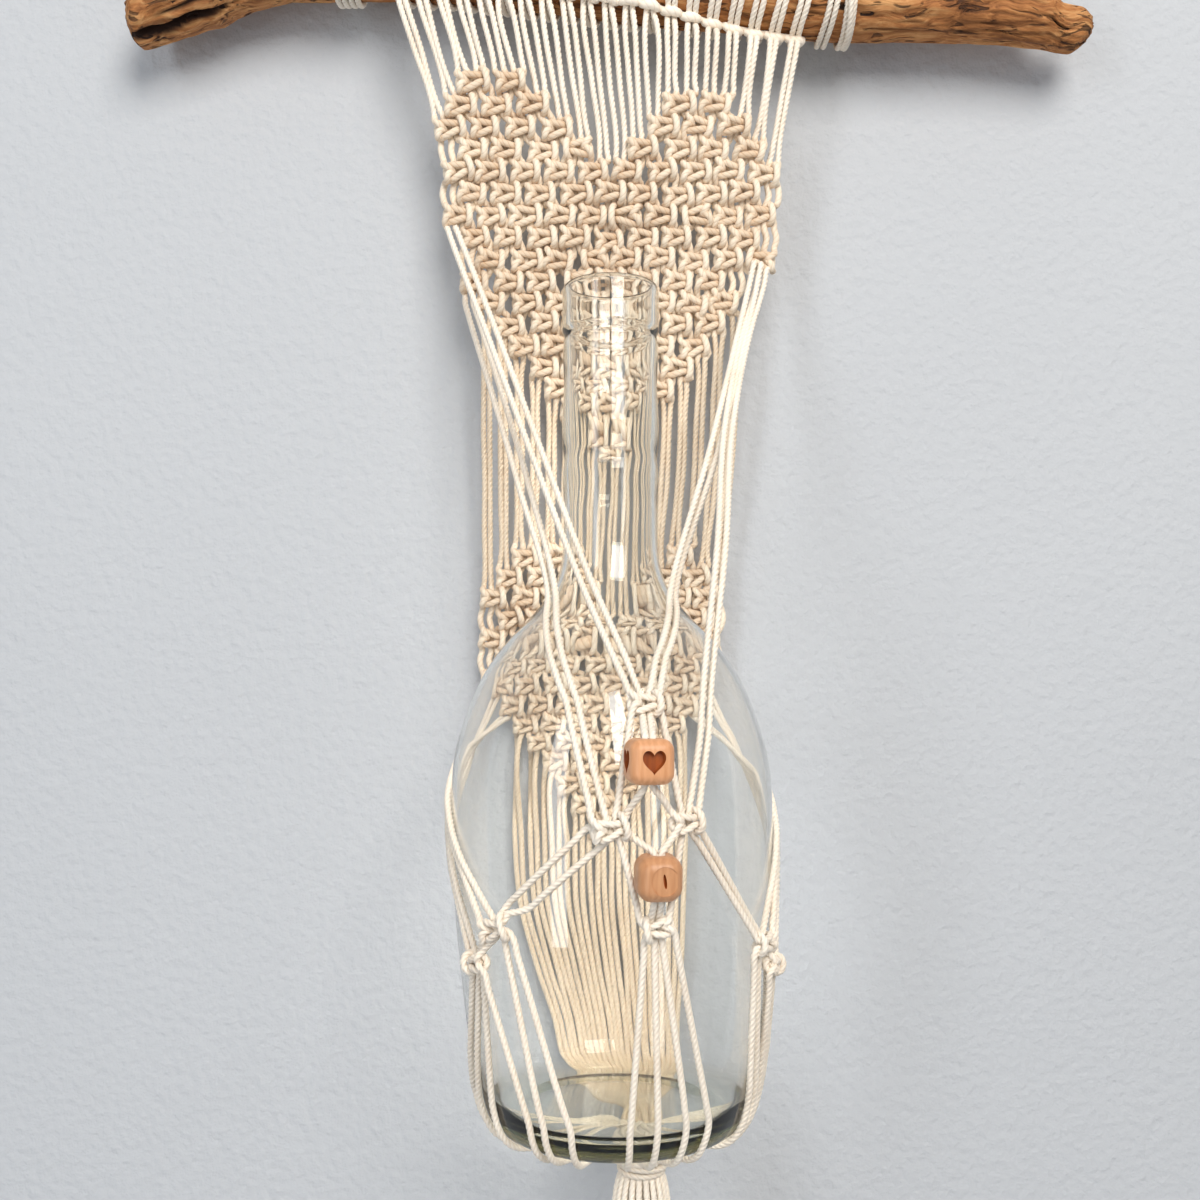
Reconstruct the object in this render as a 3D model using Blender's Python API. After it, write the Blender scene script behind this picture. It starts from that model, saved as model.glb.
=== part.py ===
import math

import bmesh
import bpy
from mathutils import Vector

MM = 0.001
CORD = 3.0  # side of a strand, mm
FIT = 0.5  # clear gap between pieces
SAG = 1.9  # how far a turn's inside corners stand off the branch

# branch: x, lowest point, radius
BRANCH = ((-254, -45, 15), (-238, -40, 18), (-214, -34, 20), (-190, -27, 21), (-168, -23.5, 21.5),
          (-137, -22.5, 22), (-110, -22, 22), (-80, -24, 22), (-45, -28, 22), (0, -33.5, 21.5),
          (45, -38, 21.5), (80, -41.5, 21), (100, -43.5, 21), (127, -45.5, 20.5), (153, -45.5, 19.5),
          (180, -45.5, 18.5), (206, -46, 17), (230, -48.5, 15.5), (247, -50.5, 13.5), (254, -48, 11))
BRANCH_Y = -27.5
BRANCH_SIDES = 14

# panel: height, left edge, right edge (of 20 pairs), distance from the wall
ROW = (-115, 102.3)  # the ends of the row on the branch, from which the cords fan
PANEL = ((-20, -115, 107, -42), (-48, -108, 101, -41), (-74, -100, 95.4, -37.5), (-104, -88.4, 90.7, -33),
         (-141, -87.4, 88, -29), (-201, -87.3, 88.6, -23), (-259, -87, 86.6, -17.5), (-315, -86, 80.3, -12.5),
         (-364, -86.4, 77, -9.5), (-414, -86.6, 76, -8.5), (-460, -86, 76, -8.2), (-560, -80, 70, -8.2))
PAIRS = 20
FAN = -104  # height under which the pairs hang straight
UPPER_TOP, UPPER_ROW = -66.8, 11.06
LOWER_TOP, LOWER_ROW = -309.1, 11.2
UPPER_HEART = ((2, 4, 14), (1, 3, 5, 13, 15), (0, 2, 4, 6, 12, 14, 16), (1, 3, 5, 7, 11, 13, 15, 17),
               range(0, 19, 2), range(1, 18, 2), range(0, 19, 2), range(1, 18, 2), range(2, 19, 2),
               range(1, 16, 2), range(2, 17, 2), range(3, 16, 2), range(4, 15, 2), range(5, 14, 2),
               (6, 8, 10, 12), (7, 9, 11), (8, 10), (9,))
LOWER_HEART = ((4, 6, 14), (3, 5, 7, 13, 15), (2, 4, 6, 8, 12, 14, 16), range(3, 16, 2), range(2, 17, 2),
               range(3, 16, 2), range(2, 17, 2), range(3, 16, 2), range(4, 15, 2), range(5, 14, 2),
               (6, 8, 10, 12), (7, 9, 11), (8, 10), (9,))
KNOT_RISE = 2.2
SLIT = 2.5  # half width of an opening between knots

# bottle: height, radius outside; the inside is a wall thinner
AXIS = (0.0, -92.0)
BOTTLE = ((-193.5, 21.4), (-195, 23), (-214, 23.2), (-217.5, 21.8), (-273, 22), (-318, 22.3), (-333.5, 25),
          (-342.6, 30.5), (-349.3, 36.5), (-358.4, 45), (-369.8, 54.6), (-385.6, 63.9), (-404, 70.6),
          (-418, 74), (-434, 75.6), (-510, 75.2), (-550, 73.8), (-573, 70.5), (-584, 65), (-587, 59))
HOLLOW = ((-581, 55), (-573, 64.6), (-550, 69.8), (-434, 72), (-416, 70), (-400, 65.6),
          (-380, 57), (-358.4, 41.4), (-344, 28), (-331, 20.6), (-318, 19),
          (-193.5, 18.8))
BOTTLE_SIDES = 28

# knots of the net: angle round the bottle (0 is the front), height, width, tall, deep
NET_KNOTS = {"k1": (11.6, -392.3, 15, 15, 7), "k2": (-0.3, -441.5, 13, 15, 7), "k3": (23.7, -440.2, 13, 15, 7),
             "k4": (-38.3, -488.6, 14, 13, 7), "k5": (-49.5, -502.5, 12, 12, 7), "k6": (14, -486.1, 14, 14, 7),
             "k7": (60.5, -499.7, 13, 13, 7), "k8": (72.5, -509, 12, 12, 7)}
BEADS = {"bead_upper": (10.6, -414.6, 14.3), "bead_lower": (12.6, -462, 11.2)}  # angle, height, off the glass
BEAD = 20.0
HUB = (14.6, -92.0, -604.0)


def table(rows, at, column):
    rows = sorted(rows)
    if at <= rows[0][0]:
        return rows[0][column]
    for low, high in zip(rows, rows[1:]):
        if at <= high[0]:
            t = (at - low[0]) / (high[0] - low[0])
            return low[column] + (high[column] - low[column]) * t
    return rows[-1][column]


def clear_scene():
    for obj in list(bpy.data.objects):
        bpy.data.objects.remove(obj, do_unlink=True)


class Shell:
    """Points in mm and faces of one closed body."""

    def __init__(self):
        self.points, self.faces = [], []

    def add(self, point):
        self.points.append(tuple(point))
        return len(self.points) - 1

    def ring(self, points):
        return [self.add(p) for p in points]

    def bridge(self, a, b):
        for i in range(len(a)):
            j = (i + 1) % len(a)
            self.faces.append((a[i], a[j], b[j], b[i]))

    def cap(self, ring):
        self.faces.append(tuple(ring))

    def tube(self, path, wide=CORD, deep=CORD, sides=4, out=None, closed=False):
        """A strand along the path. out gives the direction of its flat face at a point."""
        path = [Vector(p) for p in path]
        rings, normal = [], Vector((0, -1, 0))
        for i, at in enumerate(path):
            along = (path[(i + 1) % len(path)] if closed or i + 1 < len(path) else at)
            along = (along - (path[i - 1] if closed or i else at)).normalized()
            if out:
                normal = out(at)
            normal = (normal - along * normal.dot(along)).normalized()
            side = along.cross(normal)
            ring = []
            for k in range(sides):
                a = math.tau * (k + 0.5) / sides
                grow = 1 / math.cos(math.pi / sides)
                ring.append(at + side * math.cos(a) * wide / 2 * grow + normal * math.sin(a) * deep / 2 * grow)
            rings.append(self.ring(ring))
        for a, b in zip(rings, rings[1:]):
            self.bridge(a, b)
        if closed:
            self.bridge(rings[-1], rings[0])
        else:
            self.cap(rings[0][::-1])
            self.cap(rings[-1])

    def lathe(self, profile, centre, sides):
        rings = []
        for z, r in profile:
            rings.append(self.ring([(centre[0] + r * math.sin(math.tau * k / sides),
                                     centre[1] - r * math.cos(math.tau * k / sides), z)
                                    for k in range(sides)]))
        for a, b in zip(rings, rings[1:]):
            self.bridge(a, b)
        return rings

    def build(self, name, colour=None):
        mesh = bpy.data.meshes.new(name)
        mesh.from_pydata([[c * MM for c in p] for p in self.points], [], self.faces)
        work = bmesh.new()
        work.from_mesh(mesh)
        bmesh.ops.recalc_face_normals(work, faces=work.faces)
        if work.calc_volume(signed=True) < 0:
            bmesh.ops.reverse_faces(work, faces=work.faces)
        work.to_mesh(mesh)
        work.free()
        obj = bpy.data.objects.new(name, mesh)
        bpy.context.scene.collection.objects.link(obj)
        if colour:
            paint(obj, colour)
        return obj


def paint(obj, colour, rough=0.8):
    material = bpy.data.materials.new(obj.name + "_look")
    material.use_nodes = True
    shader = material.node_tree.nodes["Principled BSDF"]
    shader.inputs["Base Color"].default_value = (*colour, 1)
    shader.inputs["Roughness"].default_value = rough
    obj.data.materials.clear()
    obj.data.materials.append(material)


def join(target, other, kind="UNION"):
    """Booleans other into or out of target, and removes it."""
    change = target.modifiers.new("join", "BOOLEAN")
    change.operation, change.solver, change.object = kind, "EXACT", other
    change.use_self = kind == "UNION"
    bpy.context.view_layer.update()
    graph = bpy.context.evaluated_depsgraph_get()
    mesh = bpy.data.meshes.new_from_object(target.evaluated_get(graph))
    target.modifiers.clear()
    target.data = mesh
    bpy.data.objects.remove(other, do_unlink=True)


def drop_crumbs(obj):
    """Keeps the body with the most points: a union can leave a speck beside it."""
    work = bmesh.new()
    work.from_mesh(obj.data)
    left, bodies = set(work.verts), []
    while left:
        body, front = set(), [left.pop()]
        while front:
            vert = front.pop()
            body.add(vert)
            near = {edge.other_vert(vert) for edge in vert.link_edges} & left
            left -= near
            front += near
        bodies.append(body)
    bodies.sort(key=len)
    bmesh.ops.delete(work, geom=[v for body in bodies[:-1] for v in body], context="VERTS")
    work.to_mesh(obj.data)
    work.free()


# ---- branch and what is wound on it


def branch_axis(x):
    low, r = table(BRANCH, x, 1), table(BRANCH, x, 2)
    return BRANCH_Y, low + r, r


def on_branch(x, angle, off):
    """angle in degrees: 0 is the front, 90 below, -90 on top, 180 at the back."""
    y, z, r = branch_axis(x)
    a = math.radians(angle)
    return x, y - (r + off) * math.cos(a), z - (r + off) * math.sin(a)


def make_branch():
    shell, rings = Shell(), []
    for i, (x, low, r) in enumerate(BRANCH):
        ring = []
        for k in range(BRANCH_SIDES):
            a = 360 * k / BRANCH_SIDES
            knobbly = 0.5 + 0.25 * math.sin(2 * math.radians(a) + x / 37) + 0.25 * math.sin(x / 13 + 3 * k)
            crack = 2.5 if x < -150 and k == 1 and i % 2 else 0
            ring.append(on_branch(x, a, -r * 0.07 * knobbly - crack))
        rings.append(shell.ring(ring))
    for a, b in zip(rings, rings[1:]):
        shell.bridge(a, b)
    for ring, x, push in ((rings[0][::-1], -254, -3), (rings[-1], 254, 3)):
        y, z, r = branch_axis(x)
        tip = shell.add((x + push, y, z))
        for i in range(len(ring)):
            shell.faces.append((ring[i], ring[(i + 1) % len(ring)], tip))
    shell.build("branch", (0.23, 0.12, 0.06))


def make_wrap(name, x, turns, lean):
    """Turns of cord round the branch: a band ridged once per turn."""
    shell, rings, sides = Shell(), [], 12
    width = turns * (CORD + 0.2)
    steps = [(-width / 2 + width * i / (2 * turns), 3.9 if i % 2 else 2.8) for i in range(2 * turns + 1)]
    steps += [(width / 2, 1.3), (-width / 2, 1.3)]
    for shift, off in steps:
        ring = []
        for k in range(sides):
            a = 360 * k / sides
            at = x + shift + lean * math.sin(math.radians(-a))
            ring.append(on_branch(at, a, off))
        rings.append(shell.ring(ring))
    for a, b in zip(rings, rings[1:] + rings[:1]):
        shell.bridge(a, b)
    shell.build(name, (0.86, 0.78, 0.66))


# ---- the knotted panel


def panel_y(z):
    return table(PANEL, z, 3)


def border(b, z):
    """x of pair border b (0 to 20) at a height."""
    fan = max(z, FAN)
    left, right = table(PANEL, min(z, FAN), 1), table(PANEL, min(z, FAN), 2)
    x = left + (right - left) * b / PAIRS
    if z <= FAN:
        return x
    top = ROW[0] + (ROW[1] - ROW[0]) * b / PAIRS
    start = branch_axis(top)[1] - 21.8
    return x + (top - x) * min(1, (fan - FAN) / (start - FAN))


def kept_pairs(rows):
    kept = [{p for k in row for p in (k, k + 1)} for row in rows]
    loops = [kept[r - 1] & kept[r + 1] if 0 < r < len(rows) - 1 else set() for r in range(len(rows))]
    return [a | b for a, b in zip(kept, loops)]


def make_heart(shell, rows, top, pitch, is_open):
    """A slab of raised knots. Returns its roots: {(pair, half): ring} for its top and bottom edges."""
    kept = kept_pairs(rows)
    cells = {(p, j) for r, pairs in enumerate(kept) for p in pairs for j in (2 * r, 2 * r + 1)}
    slits = set()
    for r, pairs in enumerate(kept):
        for b in range(1, PAIRS):
            between = b - 1 in pairs and b in pairs and b - 1 not in rows[r]
            inside = {(a, j) for a in (b - 1, b) for j in (2 * r - 1, 2 * r + 2)} <= cells
            if between and inside and is_open(r, b):
                slits.add((b, 2 * r + 1))
    made = {}

    def corner(b, j, face, copy, shift=0.0, lift=0.0):
        key = (b, j, face, copy)
        if key not in made:
            z = top - pitch * j / 2
            r, x = j // 2, border(b, z)
            mid_knot = j % 2 and b == int(b) and b - 1 in rows[r]
            rise = KNOT_RISE if mid_knot else (0.5 if j % 2 == 0 else -0.2)
            back = 0.7 if mid_knot else 0
            y = panel_y(z) + (-CORD / 2 - rise if face == 0 else CORD / 2 + back)
            if (b, j) in slits:
                x += -SLIT if copy == "l" else SLIT
            elif j % 2 == 0 and 0 < b < PAIRS:
                out = ((int(b) - 1, j) in cells) - ((int(b), j) in cells)
                x -= 0.5 * out
            made[key] = shell.add((x + shift, y, z + lift))
        return made[key]

    def name_of(b, j, cell):
        return ("l" if b == cell + 1 else "r") if (b, j) in slits else ""

    roots = {"top": {}, "bottom": {}}
    for p, j in sorted(cells):
        above, below = (p, j - 1) in cells, (p, j + 1) in cells
        quads = []
        for face in (0, 1):
            tl, tr = corner(p, j, face, name_of(p, j, p)), corner(p + 1, j, face, name_of(p + 1, j, p))
            bl = corner(p, j + 1, face, name_of(p, j + 1, p))
            br = corner(p + 1, j + 1, face, name_of(p + 1, j + 1, p))
            tm = [] if above else [corner(p + 0.5, j, face, "", lift=0.8)]
            bm = [] if below else [corner(p + 0.5, j + 1, face, "", lift=-0.8)]
            quads.append((tl, tm, tr, br, bm, bl))
            loop = [tl, *tm, tr, br, *bm, bl]
            shell.faces.append(tuple(loop if face == 0 else loop[::-1]))
        front, rear = quads
        (tl, tm, tr, br, bm, bl), (tl2, tm2, tr2, br2, bm2, bl2) = front, rear
        if not above:
            roots["top"][p, 0] = (tl, tm[0], tm2[0], tl2)
            roots["top"][p, 1] = (tm[0], tr, tr2, tm2[0])
        if not below:
            roots["bottom"][p, 0] = (bl, bm[0], bm2[0], bl2)
            roots["bottom"][p, 1] = (bm[0], br, br2, bm2[0])
        if (p - 1, j) not in cells or (p, j) in slits or (p, j + 1) in slits:
            shell.faces.append((tl, bl, bl2, tl2))
        if (p + 1, j) not in cells or (p + 1, j) in slits or (p + 1, j + 1) in slits:
            shell.faces.append((tr, tr2, br2, br))
    return roots


def strand_ring(shell, x, y, z, wide=CORD):
    h, d = wide / 2, CORD / 2
    return shell.ring([(x - h, y - d, z), (x + h, y - d, z), (x + h, y + d, z), (x - h, y + d, z)])


def lane_x(pair, half, z):
    """x of one cord, its pair drawn a little together."""
    step = border(pair + 1, z) - border(pair, z)
    return border(pair, z) + step * (0.5 + (half - 0.5) * 0.46)


def strand(shell, start, end, pair, half, high, low, steps):
    """One cord from the root ring start to the root ring end (or a free end)."""
    last = start
    for i in range(steps + 1):
        z = high + (low - high) * i / steps
        sway = 0.3 * math.sin(1.7 * pair + 2.1 * i + half) if 0 < i < steps else 0
        ring = strand_ring(shell, lane_x(pair, half, z) + sway, panel_y(z) + 0.3 * sway, z)
        shell.bridge(last, ring)
        last = ring
    if end:
        shell.bridge(last, end)
    else:
        shell.cap(last)


def row_z(pair):
    x = border(pair, -36)
    return branch_axis(x)[1]


def make_row(shell):
    """The row of loops under the branch, and each pair's turn over it."""
    tops, roots, made = {}, {}, {}

    def corner(b, angle, off, key):
        if (b, key) not in made:
            made[b, key] = shell.add(on_branch(ROW[0] + (ROW[1] - ROW[0]) * b / PAIRS, angle, off))
        return made[b, key]

    for p in range(PAIRS):
        rims = []
        for b in (p, p + 1):
            rims.append([corner(b, 26, 2.6, 0), corner(b, 42, 4.0, 1), corner(b, 55, 4.2, 2),
                         corner(b, 60, 1, 3), corner(b, 26, 1.3, 4)])
        (t0, m0, b0, b1, t1), (u0, n0, c0, c1, u1) = rims
        middle = corner(p + 0.5, 43, 6.2, 5)
        low_f, low_b = corner(p + 0.5, 56, 5, 6), corner(p + 0.5, 62, 1, 7)
        shell.faces += [(t0, middle, u0), (t0, m0, middle), (u0, middle, n0), (m0, b0, low_f, middle),
                        (middle, low_f, c0, n0), (t1, u1, c1, low_b, b1)]
        if p == 0:
            shell.faces.append((t0, t1, b1, b0, m0))
        if p == PAIRS - 1:
            shell.faces.append((u0, n0, c0, c1, u1))
        roots[p, 0], roots[p, 1] = (b0, low_f, low_b, b1), (low_f, c0, c1, low_b)
        tops[p] = (t0, u0, u1, t1)
    for p, last in tops.items():
        x = ROW[0] + (ROW[1] - ROW[0]) * (p + 0.5) / PAIRS
        for i, angle in enumerate((4, -36, -78, -120, -162)):
            at = x + 6 * min(1, (26 - angle) / 90)
            ring = shell.ring([on_branch(at + w, angle, off) for w, off in
                               ((-3.2, SAG + 2.9), (3.2, SAG + 2.9), (3.2, SAG), (-3.2, SAG))])
            shell.bridge(last, ring)
            last = ring
        shell.cap(last)
    return roots


def make_panel():
    shell = Shell()
    row = make_row(shell)
    upper = make_heart(shell, UPPER_HEART, UPPER_TOP, UPPER_ROW,
                       lambda r, b: b >= 10 or r >= 7 or (r + b) % 2 and b in (2, 5, 8))
    lower = make_heart(shell, LOWER_HEART, LOWER_TOP, LOWER_ROW, lambda r, b: b > 9 and r < 7)
    for p in range(PAIRS):
        for half in (0, 1):
            first = next(r for r, pairs in enumerate(kept_pairs(UPPER_HEART)) if p in pairs)
            high = shell.points[row[p, half][0]][2] - 5
            low = UPPER_TOP - UPPER_ROW * first + 4
            strand(shell, row[p, half], upper["top"][p, half][:], p, half, high, low, 1 if first < 3 else 2)
            if not 2 <= p <= 17:
                shell.cap(upper["bottom"][p, half])
                continue
            last = max(r for r, pairs in enumerate(kept_pairs(UPPER_HEART)) if p in pairs)
            first = next(r for r, pairs in enumerate(kept_pairs(LOWER_HEART)) if p in pairs)
            strand(shell, upper["bottom"][p, half], lower["top"][p, half], p, half,
                   UPPER_TOP - UPPER_ROW * (last + 1) - 4, LOWER_TOP - LOWER_ROW * first + 4, 3)
    for p in range(2, 18):
        if p < 4 or p > 15:
            for half in (0, 1):
                shell.cap(lower["bottom"][p, half])
            continue
        a, b = lower["bottom"][p, 0], lower["bottom"][p, 1]
        last = max(r for r, pairs in enumerate(kept_pairs(LOWER_HEART)) if p in pairs)
        z = LOWER_TOP - LOWER_ROW * (last + 1) - 6
        rings = [strand_ring(shell, lane_x(p, 0.5, z), -8.5, z, 5.4)]
        for spread, middle, y, z, wide in ((7.9, -4.6, -8.5, -482, 5.4), (5.9, 4, -9.5, -566, 4.9)):
            rings.append(strand_ring(shell, middle + (p - 9.5) * spread, y, z, wide))
        for spread, middle, y, z, wide in ((4.9, 8, -20, -594, 4), (1.7, 13, -66, -604, 1.3)):
            x, h = middle + (p - 9.5) * spread, wide / 2
            rings.append(shell.ring([(x - h, y - 0.8, z + 1.3), (x + h, y - 0.8, z + 1.3),
                                     (x + h, y + 0.8, z - 1.3), (x - h, y + 0.8, z - 1.3)]))
        front, rear = (a[0], a[1], b[1]), (a[3], a[2], b[2])
        f = rings[0]
        shell.faces += [(front[0], front[1], front[2], f[1], f[0]), (rear[2], rear[1], rear[0], f[3], f[2]),
                        (front[2], rear[2], f[2], f[1]), (rear[0], front[0], f[0], f[3])]
        for one, two in zip(rings, rings[1:]):
            shell.bridge(one, two)
        shell.cap(rings[-1])
    shell.build("panel", (0.83, 0.72, 0.58))


# ---- the net that holds the bottle


def bottle_radius(z):
    return table(BOTTLE, z, 1)


def reach(z, off):
    """Radius at which a point stands off the glass, measured square to it."""
    slope = (bottle_radius(z + 4) - bottle_radius(z - 4)) / 8
    return bottle_radius(z) + off * math.hypot(1, slope)


def on_bottle(angle, z, off):
    a, r = math.radians(angle), reach(z, off)
    return Vector((AXIS[0] + r * math.sin(a), AXIS[1] - r * math.cos(a), z))


def outward(point):
    away = Vector((point[0] - AXIS[0], point[1] - AXIS[1], 0))
    return away.normalized() if away.length > 1 else Vector((0, -1, 0))


def lack(p, off):
    """How far a point lies inside the glass and its clearance."""
    away = math.hypot(p[0] - AXIS[0], p[1] - AXIS[1])
    return reach(p[2], off) - away if -587.5 < p[2] < -193 and away > 5 else 0


def pushed(p, off):
    return p + outward(p) * max(0, lack(p, off))


def settle(path, off):
    """Splits the path's legs and pushes them clear of the glass."""
    points = [Vector(path[0])]
    for a, b in zip(path, path[1:]):
        a, b = Vector(a), Vector(b)
        n = max(1, round((b - a).length / 26))
        for i in range(1, n + 1):
            points.append(pushed(a.lerp(b, i / n), off))
    slim = [points[0]]
    for i in range(1, len(points) - 1):
        chord = (points[i + 1] - slim[-1]).normalized()
        part = points[i] - slim[-1]
        if (part - chord * part.dot(chord)).length > 0.3:
            slim.append(points[i])
    slim.append(points[-1])
    for _ in range(2):
        finer = slim[:1]
        for a, b in zip(slim, slim[1:]):
            worst = max((lack(a.lerp(b, t), off), t) for t in (0.3, 0.5, 0.7))
            if worst[0] > 0.25:
                finer.append(pushed(a.lerp(b, worst[1]), off))
            finer.append(b)
        slim = finer
    return slim


def twin(shell, path, gap=3.9, start=None):
    """Two cords side by side along the path."""
    for side in (-1, 1):
        moved = []
        for i, p in enumerate(path):
            p = Vector(p)
            along = (Vector(path[min(i + 1, len(path) - 1)]) - Vector(path[max(i - 1, 0)])).normalized()
            across = along.cross(outward(p)).normalized()
            moved.append(p - across * side * gap / 2)
        cord(shell, moved)


def cord(shell, path, off=2.7):
    shell.tube(settle(path, off), out=outward)


def make_net():
    cords, knots = Shell(), Shell()
    spot = {}
    for name, (angle, z, wide, tall, deep) in NET_KNOTS.items():
        at = on_bottle(angle, z, 0)
        out = outward(at)
        side = Vector((0, 0, 1)).cross(out).normalized()
        tilt = (bottle_radius(z + 6) - bottle_radius(z - 6)) / 12
        down = (Vector((0, 0, -1)) + out * -tilt).normalized()
        face = side.cross(down).normalized()
        if face.dot(out) < 0:
            face = -face
        spot[name] = (at, out, side, down, tall)
        rings = []
        for t, size in ((-0.5, 0.55), (-0.27, 1), (0, 0.72), (0.27, 1), (0.5, 0.55)):
            ring = []
            for k in range(8):
                a = math.tau * (k + 0.5) / 8
                x, d = math.cos(a) * wide / 2 * size, math.sin(a) * deep / 2 * min(1, size + 0.1)
                ring.append(at + down * t * tall + side * x + face * (d + deep / 2 * 0.93 + 0.9))
            rings.append(knots.ring(ring))
        for a, b in zip(rings, rings[1:]):
            knots.bridge(a, b)
        knots.cap(rings[0][::-1])
        knots.cap(rings[-1])

    def port(name, x, end):
        """Where a cord enters a knot: x mm to its right, end -1 at its top and 1 at its foot."""
        at, out, side, down, tall = spot[name]
        return at + side * x + down * end * tall * 0.33 + out * 3.4

    def heel(p, x, z):
        return (border(p + 0.5, z) + x, panel_y(z) + 0.2, z)

    twin(cords, [heel(0, -1.6, -148.5), (-81.5, -36.6, -160), on_bottle(-6.9, -344.5, 2.6), port("k1", -3.4, -1)])
    twin(cords, [heel(1, 0, -182), (-73.5, -33.8, -192), on_bottle(-53.4, -343.7, 2.6), on_bottle(-13.3, -389, 2.6),
                 port("k2", -2.8, -1)])
    twin(cords, [heel(18, 1.4, -171), (73, -36, -183), on_bottle(58, -343.6, 2.6), port("k1", 3.4, -1)])
    twin(cords, [heel(19, 1, -171), (81.5, -33, -183), on_bottle(38.3, -387.9, 2.6), port("k3", 2.2, -1)])
    cord(cords, [port("k1", -5, 1), on_bottle(0.6, -410, 2.4), on_bottle(0, -426, 2.4), port("k2", 3.4, -1)])
    cord(cords, [port("k1", 5, 1), on_bottle(19.8, -415, 2.4), port("k3", -2.4, -1)])
    bead_top = [on_bottle(*place) for place in BEADS.values()]
    for side, above, below in ((-1, ("k1", "k1"), ("k2", "k3")), (1, ("k2", "k3"), ("k6", "k6"))):
        at = bead_top[0] if side < 0 else bead_top[1]
        for half in (0, 1):
            x = (half - 0.5) * 3.9
            start = port(above[half], (half - 0.5) * (3.9 if side < 0 else -5), 1)
            finish = port(below[half], (0.5 - half) * (4 if side < 0 else -3.9), -1)
            right = Vector((0, 0, 1)).cross(outward(at)).normalized()
            cord(cords, [start, at + right * x + Vector((0, 0, 11.3)), at + right * x - Vector((0, 0, 11.3)),
                         finish])
    twin(cords, [port("k2", -3.6, 1), port("k4", 2, -1)])
    twin(cords, [port("k3", 3.6, 1), port("k7", -2, -1)])
    cord(cords, [port("k2", 1, 1), on_bottle(3, -457, 2.4), on_bottle(3.2, -470, 2.4), port("k6", -4.5, -1)])
    cord(cords, [port("k3", -1, 1), on_bottle(22.4, -457, 2.4), on_bottle(22.2, -470, 2.4), port("k6", 4.5, -1)])
    for side, pairs, knots_hit in ((-1, (3, 2), ("k4", "k5")), (1, (16, 17), ("k7", "k8"))):
        for n, knot in enumerate(knots_hit):
            lift = 10 * n + (12 if side > 0 else 0)
            edge = heel(pairs[n], side * 0.5, -392.5 if n else -404)
            twin(cords, [edge, on_bottle(side * 104, -404 - lift, 3.2), on_bottle(side * 82, -420 - lift * 1.3, 3.2),
                         port(knot, (1.8 if n == 0 else 0.5) * side, -1)], 3.8)
    cord(cords, [port("k4", -3.5, 1), port("k5", 3, -1)])
    cord(cords, [port("k7", 3.5, 1), port("k8", -3, -1)])
    feet = (("k6", -4.5, 5.6), ("k6", -1.5, 15.9), ("k6", 1.5, 26.9), ("k6", 4.5, 32.8), ("k4", 0, -23.3),
            ("k4", 3.6, -12), ("k5", 4.2, -29), ("k5", 1.4, -37.5), ("k5", -1.4, -48), ("k5", -4.2, -56),
            ("k7", 0, 54), ("k7", -3.5, 46), ("k8", 3.4, 80), ("k8", 0, 71), ("k8", -3.4, 62.5))
    for knot, x, angle in feet:
        top = port(knot, x, 1)
        low = [on_bottle(angle * 0.35 + math.degrees(math.atan2(top[0], -(top[1] - AXIS[1]))) * 0.65, -538, 2.6)]
        low += [on_bottle(angle, z, off) for z, off in ((-567, 3.8), (-579, 5.2), (-585.5, 6.7))]
        away = outward(low[-1])
        hub = Vector(HUB) + away * 5.5
        inner = Vector((*[AXIS[i] + away[i] * 58 for i in (0, 1)], -592))
        cords.tube(settle([top] + low[:3], 2.4) + [inner, hub], out=outward, wide=2.6, deep=2.6)
    net = knots.build("net")
    hub = Shell()
    rings = hub.lathe(((-599, 8), (-601, 11.4), (-606, 11.6), (-608.6, 9.6)), HUB[:2], 12)
    hub.cap(rings[0])
    hub.cap(rings[-1][::-1])
    join(net, cords.build("cords"))
    join(net, hub.build("hub"))
    drop_crumbs(net)
    paint(net, (0.9, 0.83, 0.72))


def heart_outline(size, count):
    points = []
    for i in range(count):
        t = math.tau * i / count
        x = 16 * math.sin(t) ** 3
        z = 13 * math.cos(t) - 5 * math.cos(2 * t) - 2 * math.cos(3 * t) - math.cos(4 * t)
        points.append((x * size / 32, (z + 2.5) * size / 32))
    return points


def make_bead(name):
    angle, z, off = BEADS[name]
    at = on_bottle(angle, z, off)
    turn = -14 if name == "bead_upper" else -20
    mesh = bpy.data.meshes.new(name)
    work = bmesh.new()
    bmesh.ops.create_cube(work, size=BEAD * MM)
    bmesh.ops.bevel(work, geom=work.edges[:], offset=4.2 * MM, segments=2, profile=0.5, affect="EDGES",
                    clamp_overlap=True)
    work.to_mesh(mesh)
    work.free()
    bead = bpy.data.objects.new(name, mesh)
    bpy.context.scene.collection.objects.link(bead)
    hole = Shell()
    rings = hole.lathe(((14, 5), (-14, 5)), (0, 0), 12)
    hole.cap(rings[0])
    hole.cap(rings[1][::-1])
    join(bead, hole.build("hole"), "DIFFERENCE")
    if name == "bead_upper":
        carve = Shell()
        rings = [carve.ring([(x, y, z) for x, z in heart_outline(11.5, 14)]) for y in (-14, -9.1)]
        carve.bridge(*rings)
        carve.cap(rings[0])
        carve.cap(rings[1][::-1])
        join(bead, carve.build("carve"), "DIFFERENCE")
    bead.rotation_euler = (0, 0, math.radians(angle + turn * 0.5))
    bead.location = [c * MM for c in at]
    paint(bead, (0.72, 0.42, 0.2), 0.5)


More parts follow.
